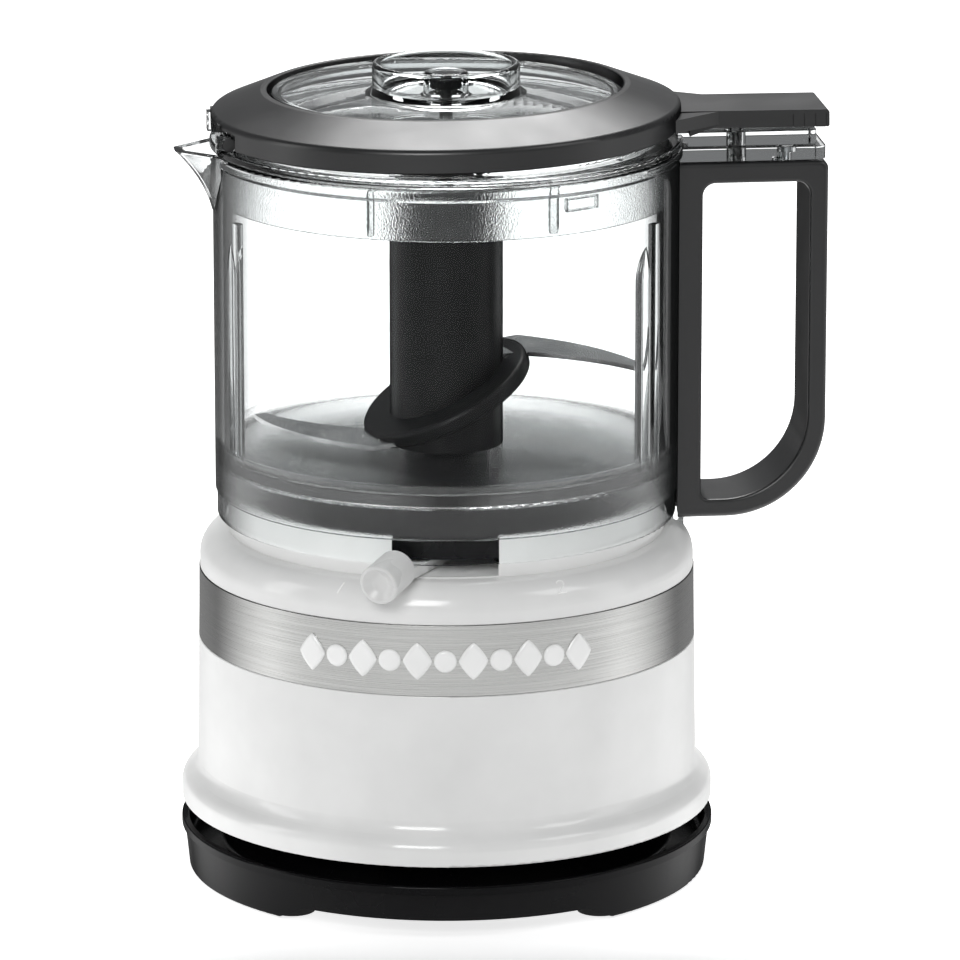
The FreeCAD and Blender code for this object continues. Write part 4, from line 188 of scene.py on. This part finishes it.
def moulded(name, dark, light, rough, grain_mm, depth_mm, patch_mm=18.0, shine=0.5, painted_rim_on_flats=1.0):
    """Moulded plastic or rubber: a tool's fine texture, and gloss that drifts over the part.

    On upright walls the gloss gives way to a plain diffuse at a low angle: painted shade that hides
    the rim's reflection. Faces that point up or down keep only the share of it the last argument gives.
    """
    finish, tree = new_finish(name)
    where = add(tree, "ShaderNodeTexCoord").outputs["Object"]
    patch = add(tree, "ShaderNodeTexNoise", {
        "Vector": where, "Scale": 1 / (patch_mm * MM), "Detail": 3.0}).outputs["Fac"]
    share = add(tree, "ShaderNodeMapRange", {
        "Value": patch, "From Min": 0.3, "From Max": 0.7}).outputs["Result"]
    colour = add(tree, "ShaderNodeMix", {
        "Factor": share, 6: linear(dark), 7: linear(light)}, data_type="RGBA").outputs[2]
    gloss = add(tree, "ShaderNodeMapRange", {
        "Value": share, "To Min": rough[0], "To Max": rough[1]}).outputs["Result"]
    fine = add(tree, "ShaderNodeTexNoise", {
        "Vector": where, "Scale": 1 / (grain_mm * MM), "Detail": 4.0}).outputs["Fac"]
    skin = add(tree, "ShaderNodeBump", {"Height": fine, "Distance": depth_mm * MM}).outputs["Normal"]
    shader = add(tree, "ShaderNodeBsdfPrincipled", {
        "Base Color": colour, "Roughness": gloss, "Normal": skin, "IOR": 1.5,
        "Specular IOR Level": shine}).outputs["BSDF"]
    # painted shade: on upright walls at a low angle the gloss gives way to a plain diffuse, so the rim
    # shows no reflection
    painted_rim_shade = on_walls(tree, low_angle(tree, 0.5, 0.85, 0.92), painted_rim_on_flats)
    rim_shade_diffuse = add(tree, "ShaderNodeBsdfDiffuse", {"Color": colour, "Normal": skin}).outputs["BSDF"]
    whole = add(tree, "ShaderNodeMixShader", {0: painted_rim_shade, 1: shader, 2: rim_shade_diffuse}).outputs[0]
    add(tree, "ShaderNodeOutputMaterial", {"Surface": whole})
    return finish


def metal(name, dark, light, rough, streak_mm, stretch, depth_mm, patch_mm=9.0, patch_share=0.3,
          painted_rim_darkening=0.0):
    """Worked metal: tool streaks that run where the stretch is small, and a faint mottle.

    Painted shade: where the face turns away from the eye, a dark diffuse colour takes a share.
    """
    finish, tree = new_finish(name)
    where = add(tree, "ShaderNodeTexCoord").outputs["Object"]
    along = add(tree, "ShaderNodeMapping", {
        "Vector": where, "Location": tuple(-AXIS * stretch), "Scale": stretch}).outputs["Vector"]
    streak = add(tree, "ShaderNodeTexNoise", {
        "Vector": along, "Scale": 1 / (streak_mm * MM), "Detail": 5.0, "Roughness": 0.7}).outputs["Fac"]
    patch = add(tree, "ShaderNodeTexNoise", {
        "Vector": where, "Scale": 1 / (patch_mm * MM), "Detail": 2.0}).outputs["Fac"]
    mixed = add(tree, "ShaderNodeMix", {
        "Factor": patch_share, 2: streak, 3: patch}, data_type="FLOAT").outputs[0]
    share = add(tree, "ShaderNodeMapRange", {
        "Value": mixed, "From Min": 0.35, "From Max": 0.65}).outputs["Result"]
    colour = add(tree, "ShaderNodeMix", {
        "Factor": share, 6: linear(dark), 7: linear(light)}, data_type="RGBA").outputs[2]
    gloss = add(tree, "ShaderNodeMapRange", {
        "Value": share, "To Min": rough[0], "To Max": rough[1]}).outputs["Result"]
    skin = add(tree, "ShaderNodeBump", {"Height": streak, "Distance": depth_mm * MM}).outputs["Normal"]
    shader = add(tree, "ShaderNodeBsdfPrincipled", {
        "Base Color": colour, "Metallic": 1.0, "Roughness": gloss, "Normal": skin}).outputs["BSDF"]
    # painted shade: a dark grey diffuse mixed in at a low angle, by the share the last argument gives
    painted_rim_share = low_angle(tree, 0.28, 0.66, painted_rim_darkening)
    shade = add(tree, "ShaderNodeBsdfDiffuse", {
        "Color": linear("2E2E2F"), "Normal": skin}).outputs["BSDF"]
    whole = add(tree, "ShaderNodeMixShader", {0: painted_rim_share, 1: shader, 2: shade}).outputs[0]
    add(tree, "ShaderNodeOutputMaterial", {"Surface": whole})
    return finish


def clear_moulding(name, belt_mm, frost, painted_edge_strength=0.93, flow_mm=0.02):
    """Clear polycarbonate: polished, but frosted in a belt between two heights.

    A wall that turns away from the eye is darkened by painted shade, a dark diffuse mixed in at a low
    angle, mostly on upright walls; a lamp's light crosses the wall without caustics.
    """
    finish, tree = new_finish(name)
    where = add(tree, "ShaderNodeTexCoord").outputs["Object"]
    height = add(tree, "ShaderNodeSeparateXYZ", {"Vector": where}).outputs["Z"]
    low, high = belt_mm
    blur = 0.2
    rise = add(tree, "ShaderNodeMapRange", {
        "Value": height, "From Min": (low - blur) * MM, "From Max": low * MM}).outputs["Result"]
    fall = add(tree, "ShaderNodeMapRange", {
        "Value": height, "From Min": high * MM, "From Max": (high + blur) * MM, "To Min": 1.0,
        "To Max": 0.0}).outputs["Result"]
    belt = add(tree, "ShaderNodeMath", {0: rise, 1: fall}, operation="MULTIPLY").outputs[0]
    drift = add(tree, "ShaderNodeTexNoise", {"Vector": where, "Scale": 1 / (14 * MM)}).outputs["Fac"]
    polish = add(tree, "ShaderNodeMapRange", {
        "Value": drift, "From Min": 0.4, "From Max": 0.7, "To Max": 0.02}).outputs["Result"]
    rough = add(tree, "ShaderNodeMath", {0: belt, 1: frost, 2: polish},
                operation="MULTIPLY_ADD").outputs[0]
    # painted shade: a dark diffuse takes over where a wall turns away from the eye, mostly on upright
    # walls
    painted_edge_mask = on_walls(tree, low_angle(tree, 0.42, 0.82, painted_edge_strength), 0.12)
    tint = add(tree, "ShaderNodeMix", {
        "Factor": drift, 6: linear("FBFCFC"), 7: linear("F4F6F6")}, data_type="RGBA").outputs[2]
    painted_edge_shade = add(tree, "ShaderNodeBsdfDiffuse", {"Color": linear("141515")}).outputs["BSDF"]
    first_glance = add(tree, "ShaderNodeMix", {
        "Factor": belt, 6: linear("5A5A5A"), 7: linear("FFFFFF")}, data_type="RGBA").outputs[2]
    spark = add(tree, "ShaderNodeTexNoise", {
        "Vector": where, "Scale": 1 / (0.5 * MM), "Detail": 3.0}).outputs["Fac"]
    etched = add(tree, "ShaderNodeMath", {0: spark, 1: belt}, operation="MULTIPLY").outputs[0]
    flow = add(tree, "ShaderNodeTexNoise", {
        "Vector": where, "Scale": 1 / (9 * MM), "Detail": 1.0}).outputs["Fac"]
    swell = add(tree, "ShaderNodeBump", {"Height": flow, "Distance": flow_mm * MM, "Strength": 0.5})
    skin = add(tree, "ShaderNodeBump", {
        "Height": etched, "Distance": 0.14 * MM, "Strength": 0.8, "Normal": swell.outputs["Normal"]})
    shader = add(tree, "ShaderNodeBsdfPrincipled", {
        "Base Color": tint, "Roughness": rough, "Normal": skin.outputs["Normal"], "IOR": 1.5,
        "Specular Tint": first_glance, "Transmission Weight": 1.0}).outputs["BSDF"]
    wall = add(tree, "ShaderNodeMixShader", {0: painted_edge_mask, 1: shader, 2: painted_edge_shade}).outputs[0]
    lamp_ray = add(tree, "ShaderNodeLightPath").outputs["Is Shadow Ray"]
    passing = add(tree, "ShaderNodeBsdfTransparent", {"Color": linear("F0F1F1")}).outputs["BSDF"]
    whole = add(tree, "ShaderNodeMixShader", {0: lamp_ray, 1: wall, 2: passing}).outputs[0]
    add(tree, "ShaderNodeOutputMaterial", {"Surface": whole})
    return finish


# How a metal's streaks are stretched: rings round an upright axis, long lines, or none.
ROUND = np.array((0.02, 0.02, 1.0))
LONG = np.array((0.004, 0.004, 1.0))
EVEN = np.array((1.0, 1.0, 1.0))

FINISHES = {
    # gloss white ABS, moulded in a polished tool: a faint orange peel under a bright gloss
    "white_abs": moulded("gloss_white_abs", "E4E4E3", "EBEBEA", (0.10, 0.16), 2.2, 0.004),
    # the same ABS in a finer, satin tool
    "knob_white": moulded("satin_white_abs", "D2D2D1", "DCDCDB", (0.24, 0.32), 0.6, 0.006),
    # the raised ornament, moulded in the whitest ABS: a clean gloss that stands off the steel
    "white_badge": moulded("gloss_white_ornament", "F5F5F4", "FBFBFA", (0.14, 0.20), 1.2, 0.004),
    # near-black ABS from a polished tool
    "black_abs": moulded("gloss_black_abs", "08080A", "0E0E0F", (0.12, 0.20), 2.0, 0.004, shine=0.12),
    # black ABS from a spark-eroded tool: a fine even grain and a soft sheen, with the painted dark rim
    # kept off its faces that point up or down
    "satin_black": moulded("satin_black_abs", "0F0F10", "151516", (0.32, 0.40), 0.5, 0.012, shine=0.75,
                             painted_rim_on_flats=0.0),
    # glass-filled nylon of the blade hub: a fine grain that stays nearly black
    "hub_black": moulded("satin_black_nylon", "0A0A0B", "101011", (0.34, 0.42), 0.5, 0.010, shine=0.2),
    # rubber feet and seals, pressed in a blasted tool: dull, with a coarse skin
    "rubber": moulded("matt_black_rubber", "121212", "1B1B1B", (0.70, 0.85), 0.8, 0.03),
    # nylon of the switches and brackets: a dry, dark surface
    "switch_plastic": moulded("matt_black_nylon", "19191A", "232324", (0.45, 0.60), 0.5, 0.010),
    # glass laminate under green lacquer, and a film capacitor's lacquered case
    "board": moulded("green_laminate", "0F4A22", "17602E", (0.30, 0.45), 0.9, 0.010),
    "components": moulded("yellow_film_capacitor", "B79A1E", "CDB032", (0.35, 0.45), 0.8, 0.010),
    # carbon brushes, pressed from powder: matt, with a fine sparkle of grain
    "carbon": moulded("pressed_carbon", "141414", "1F1F1F", (0.55, 0.75), 0.4, 0.02),
    # the gears' acetal, moulded without colour: milky and waxy
    "acetal": moulded("natural_acetal", "DAD7CC", "E6E3D9", (0.32, 0.42), 0.7, 0.008),
    # the motor's magnets, sintered and left as they are: dull dark grey
    "ferrite": moulded("sintered_ferrite", "242426", "303033", (0.60, 0.80), 0.5, 0.03),
    # stainless band, brushed round the housing: long streaks along its length, and painted shade at its
    # low-angle rim
    "brushed_band": metal("brushed_stainless", "BEBEBC", "DEDEDC", (0.24, 0.34), 0.16, LONG, 0.003,
                          patch_share=0.0, painted_rim_darkening=0.85),
    # blades ground across their width: short streaks and a bright flat
    "blade_steel": metal("ground_stainless", "B4B4B5", "D6D6D6", (0.16, 0.28), 0.3,
                         np.array((1, 0.05, 1)), 0.003),
    # screws, pins and the motor's can in zinc plate: a soft blue-grey mottle
    "zinc_steel": metal("zinc_plated_steel", "8F9193", "B4B6B8", (0.28, 0.42), 1.2, EVEN, 0.006),
    # spring wire, drawn through a die: smooth and darker
    "spring_steel": metal("drawn_spring_wire", "77787A", "9C9DA0", (0.22, 0.34), 0.4, EVEN, 0.003),
    # shafts ground in rings: bright, with fine lines round them
    "shaft_steel": metal("ground_shaft_steel", "A4A5A7", "C4C5C7", (0.14, 0.24), 0.3, ROUND, 0.003),
    # the armature's stack of stamped sheets: dark rings of edges
    "lamination": metal("stacked_lamination_steel", "4A4B4D", "6C6D70", (0.45, 0.60), 0.5, ROUND, 0.03),
    # the gearbox, die cast and left raw: a rough grey skin
    "cast_grey": metal("die_cast_aluminium", "84868A", "A2A4A8", (0.45, 0.60), 0.8, EVEN, 0.03),
    # bushes turned from brass bar, and windings of lacquered copper wire
    "brass": metal("turned_brass", "A98343", "CDA75F", (0.20, 0.34), 0.3, ROUND, 0.004),
    "copper": metal("enamelled_copper", "8A4420", "B8622F", (0.22, 0.34), 0.5, ROUND, 0.04),
    # polycarbonate from a polished tool, etched where the foot and the skirt are gripped, with painted
    # shade at the walls' low-angle edges
    "clear_plastic": clear_moulding("clear_polycarbonate", (107.0, 121.0), 0.09),
    "lid_clear": clear_moulding("clear_polycarbonate_lid", (186.0, 199.6), 0.09,
                                painted_edge_strength=0.5, flow_mm=0.004),
}


def finish_frame():
    """Give every CAD node the finish of its slot."""
    for row in frame["record"]["subparts"]:
        node = frame["nodes"][row["node"]]
        for slot in node.material_slots:
            slot.material = FINISHES[row["material_slot"]]


# ------------------------------------------------------------------ surfaces

TURN = 2 * math.pi
BAND_RADIUS = 67.45
HOUSING_TOP = 95.5
SHOULDER_RADIUS = 7.6
SHOULDER_CENTRE = 59.4


def add_surface(name, sheets, finish, body, slot, *stands_for):
    """One mesh from closed grids of points in millimetres round the axis.

    Each grid is cut into triangles and turned so that its signed volume is positive. Points that
    coincide, as on a seam or a pole, are welded, and triangles that lose a side are dropped.
    """
    points, triangles, count = [], [], 0
    for sheet in sheets:
        rows, columns = sheet.shape[:2]
        index = np.arange(rows * columns).reshape(rows, columns)
        a, b, c, d = index[:-1, :-1], index[1:, :-1], index[1:, 1:], index[:-1, 1:]
        faces = np.concatenate([np.stack([a, b, c], -1).reshape(-1, 3),
                                np.stack([a, c, d], -1).reshape(-1, 3)])
        flat = sheet.reshape(-1, 3)
        p, q, r = (flat[faces[:, k]] - flat.mean(0) for k in range(3))
        if np.einsum("ij,ij->i", p, np.cross(q, r)).sum() < 0:
            faces = faces[:, ::-1]
        points.append(flat)
        triangles.append(faces + count)
        count += len(flat)
    points, triangles = np.concatenate(points), np.concatenate(triangles)
    _, first, welded = np.unique(np.round(points * 1e4).astype(np.int64), axis=0,
                                 return_index=True, return_inverse=True)
    triangles = welded.reshape(-1)[triangles]
    whole = ((triangles[:, 0] != triangles[:, 1]) & (triangles[:, 1] != triangles[:, 2])
             & (triangles[:, 2] != triangles[:, 0]))
    mesh = bpy.data.meshes.new(name)
    mesh.from_pydata((AXIS + points[first] * MM).tolist(), [], triangles[whole].tolist())
    mesh.polygons.foreach_set("use_smooth", np.ones(len(mesh.polygons), bool))
    mesh.set_sharp_from_angle(angle=math.radians(40))
    mesh.materials.append(finish)
    piece = bpy.data.objects.new(name, mesh)
    bpy.context.scene.collection.objects.link(piece)
    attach(piece, body)
    if stands_for:
        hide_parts(*stands_for)
    return piece


def round_the_axis(radius, heading, height):
    """Points at a radius and a height; heading 0 is the front, and it grows towards +X."""
    radius, heading, height = np.broadcast_arrays(radius, heading, height)
    return np.stack([radius * np.sin(heading), -radius * np.cos(heading), height], axis=-1)


def make_ornament():
    """A row of raised forms on the band, lozenges and discs by turns.

    Each is a dome over the outline |x/a|^p + |z/b|^p = 1: its height over the band falls as
    1 - share^8 from the middle to the rim, and its back lies flat inside the band. The whole
    is bent round the band.
    """
    edge_lift, dome, sunk, front_rows, back_rows = 0.12, 0.56, -0.15, 26, 8
    outwards = np.linspace(0, 1, front_rows)
    share = np.concatenate([outwards, np.linspace(1, 0, back_rows)])[:, None]
    lift = np.concatenate([edge_lift + dome * (1 - outwards ** 8),
                           np.full(back_rows, sunk)])[:, None]
    turn = np.linspace(0, TURN, 73)[None, :]
    middle = (band_low[2] + band_high[2]) / 2 / MM
    sheets = []
    for number, across in enumerate(np.linspace(-37.0, 37.0, 11)):
        disc = number % 2 == 1
        half_wide, half_high, power = (3.0, 3.0, 2.0) if disc else (3.9, 5.0, 1.25)
        reach = (np.abs(np.cos(turn) / half_wide) ** power
                 + np.abs(np.sin(turn) / half_high) ** power) ** (-1 / power)
        sideways = across + share * reach * np.cos(turn)
        upwards = middle + share * reach * np.sin(turn)
        sheets.append(round_the_axis(BAND_RADIUS + lift + 0 * turn, sideways / BAND_RADIUS, upwards))
    add_surface("band_ornament", sheets, FINISHES["white_badge"], "base", "white_badge", "badge")


def make_speed_marks():
    """Raised marks for the two speeds: a half-round bead drawn along a line on the shoulder.

    The shoulder is an arc turned round the axis. A point of the line is a heading and an angle
    down that arc, and the bead stands on the arc's normal.
    """
    one = np.array([(-0.55, -1.8), (0.55, 1.8)])
    two = np.array([(-1.1, 0.8), (-0.8, 1.5), (0.0, 1.85), (0.85, 1.5), (1.0, 0.7), (0.3, -0.4),
                    (-1.2, -1.8), (1.3, -1.8)])
    bead = 0.24
    sheets = []
    for line, heading, fall in ((one, -25.2, 47.0), (two, 28.0, 47.0)):
        step = np.concatenate([[0], np.cumsum(np.hypot(*np.diff(line, axis=0).T))])
        along = np.linspace(0, step[-1], 60)
        across, up = (np.interp(along, step, line[:, k]) for k in (0, 1))
        aside = np.stack([np.gradient(up), -np.gradient(across)], -1)
        aside /= np.linalg.norm(aside, axis=1, keepdims=True)
        fullness = np.sqrt(np.clip(1 - (np.abs(np.linspace(-1, 1, 60)) ** 12), 0, 1))[:, None]
        section = np.linspace(0, TURN, 17)[None, :]
        wide = bead * fullness * np.cos(section)
        drop = math.radians(fall) - (up[:, None] + wide * aside[:, 1:]) / SHOULDER_RADIUS
        out = bead * fullness * np.sin(section) + SHOULDER_RADIUS
        radius = SHOULDER_CENTRE + out * np.sin(drop)
        height = HOUSING_TOP - SHOULDER_RADIUS + out * np.cos(drop)
        turned = math.radians(heading) + (across[:, None] + wide * aside[:, :1]) / radius
        sheets.append(round_the_axis(radius, turned, height))
    add_surface("speed_marks", sheets, FINISHES["white_badge"], "base", "white_abs")


def make_lid_beads():
    """Clear beads inside the lid's skirt: two upright ribs and an empty frame.

    Each is a rounded bar between two headings and two heights. Its outline has the reach
    (cos^6 + sin^6)^(-1/6), and its height over the skirt's wall falls as 1 - 0.35 share^4.
    """
    wall, depth, sunk, front_rows, back_rows = 58.3, 1.1, -0.1, 9, 5
    sheets = []
    bars = [(-20.0, -18.2, 187.0, 199.2), (27.2, 29.8, 187.0, 199.2),
            (32.0, 42.0, 192.4, 192.9), (32.0, 42.0, 195.5, 196.0),
            (32.0, 32.5, 192.4, 196.0), (41.5, 42.0, 192.4, 196.0)]
    turn = np.linspace(0, TURN, 49)[None, :]
    outwards = np.linspace(0, 1, front_rows)
    share = np.concatenate([outwards, np.linspace(1, 0, back_rows)])[:, None]
    inward = np.concatenate([depth * (1 - 0.35 * outwards ** 4), np.full(back_rows, sunk)])[:, None]
    reach = (np.cos(turn) ** 6 + np.sin(turn) ** 6) ** (-1 / 6)
    for start, end, low, high in bars:
        heading = (start + end) / 2 + share * reach * np.cos(turn) * (end - start) / 2
        height = (low + high) / 2 + share * reach * np.sin(turn) * (high - low) / 2
        sheets.append(round_the_axis(wall - inward + 0 * turn, np.radians(heading), height))
    add_surface("lid_beads", sheets, FINISHES["lid_clear"], "lid_body", "lid_clear")


def make_bowl_ribs():
    """Two upright ribs on the inside of the bowl's wall, each ending in a pointed arch.

    At a height the section is the half outline |x/h|^3 + |y/d|^3 = 1 on the wall. h is steady,
    then falls over the arch as 1 - t^1.7, and the depth d falls with its 0.7th power.
    """
    wall, half_wide, depth, foot, spring, tip = 60.4, 2.4, 2.4, 117.7, 169.5, 179.0
    height = np.concatenate([[foot], np.linspace(foot, spring, 30),
                             spring + (tip - spring) * np.linspace(0.03, 1, 30)])[:, None]
    arch = 1 - np.clip((height - spring) / (tip - spring), 0, 1) ** 1.7
    arch[0] = 0
    turn = np.linspace(0, TURN, 49)[None, :]
    across = half_wide * arch * np.sign(np.cos(turn)) * np.abs(np.cos(turn)) ** (2 / 3)
    front = np.clip(np.sin(turn), 0, 1) ** (2 / 3)
    back = 0.15 * np.clip(-np.sin(turn), 0, 1)
    inward = depth * arch ** 0.7 * front - arch * back
    sheets = [round_the_axis(wall - inward, math.radians(heading) + across / wall, height)
              for heading in (-67.5, 59.5)]
    add_surface("bowl_ribs", sheets, FINISHES["clear_plastic"], "bowl_assembly", "clear_plastic")


# ------------------------------------------------------------------ scene

set_camera()
set_lights()
set_stage()
finish_frame()
make_ornament()
make_speed_marks()
make_lid_beads()
make_bowl_ribs()
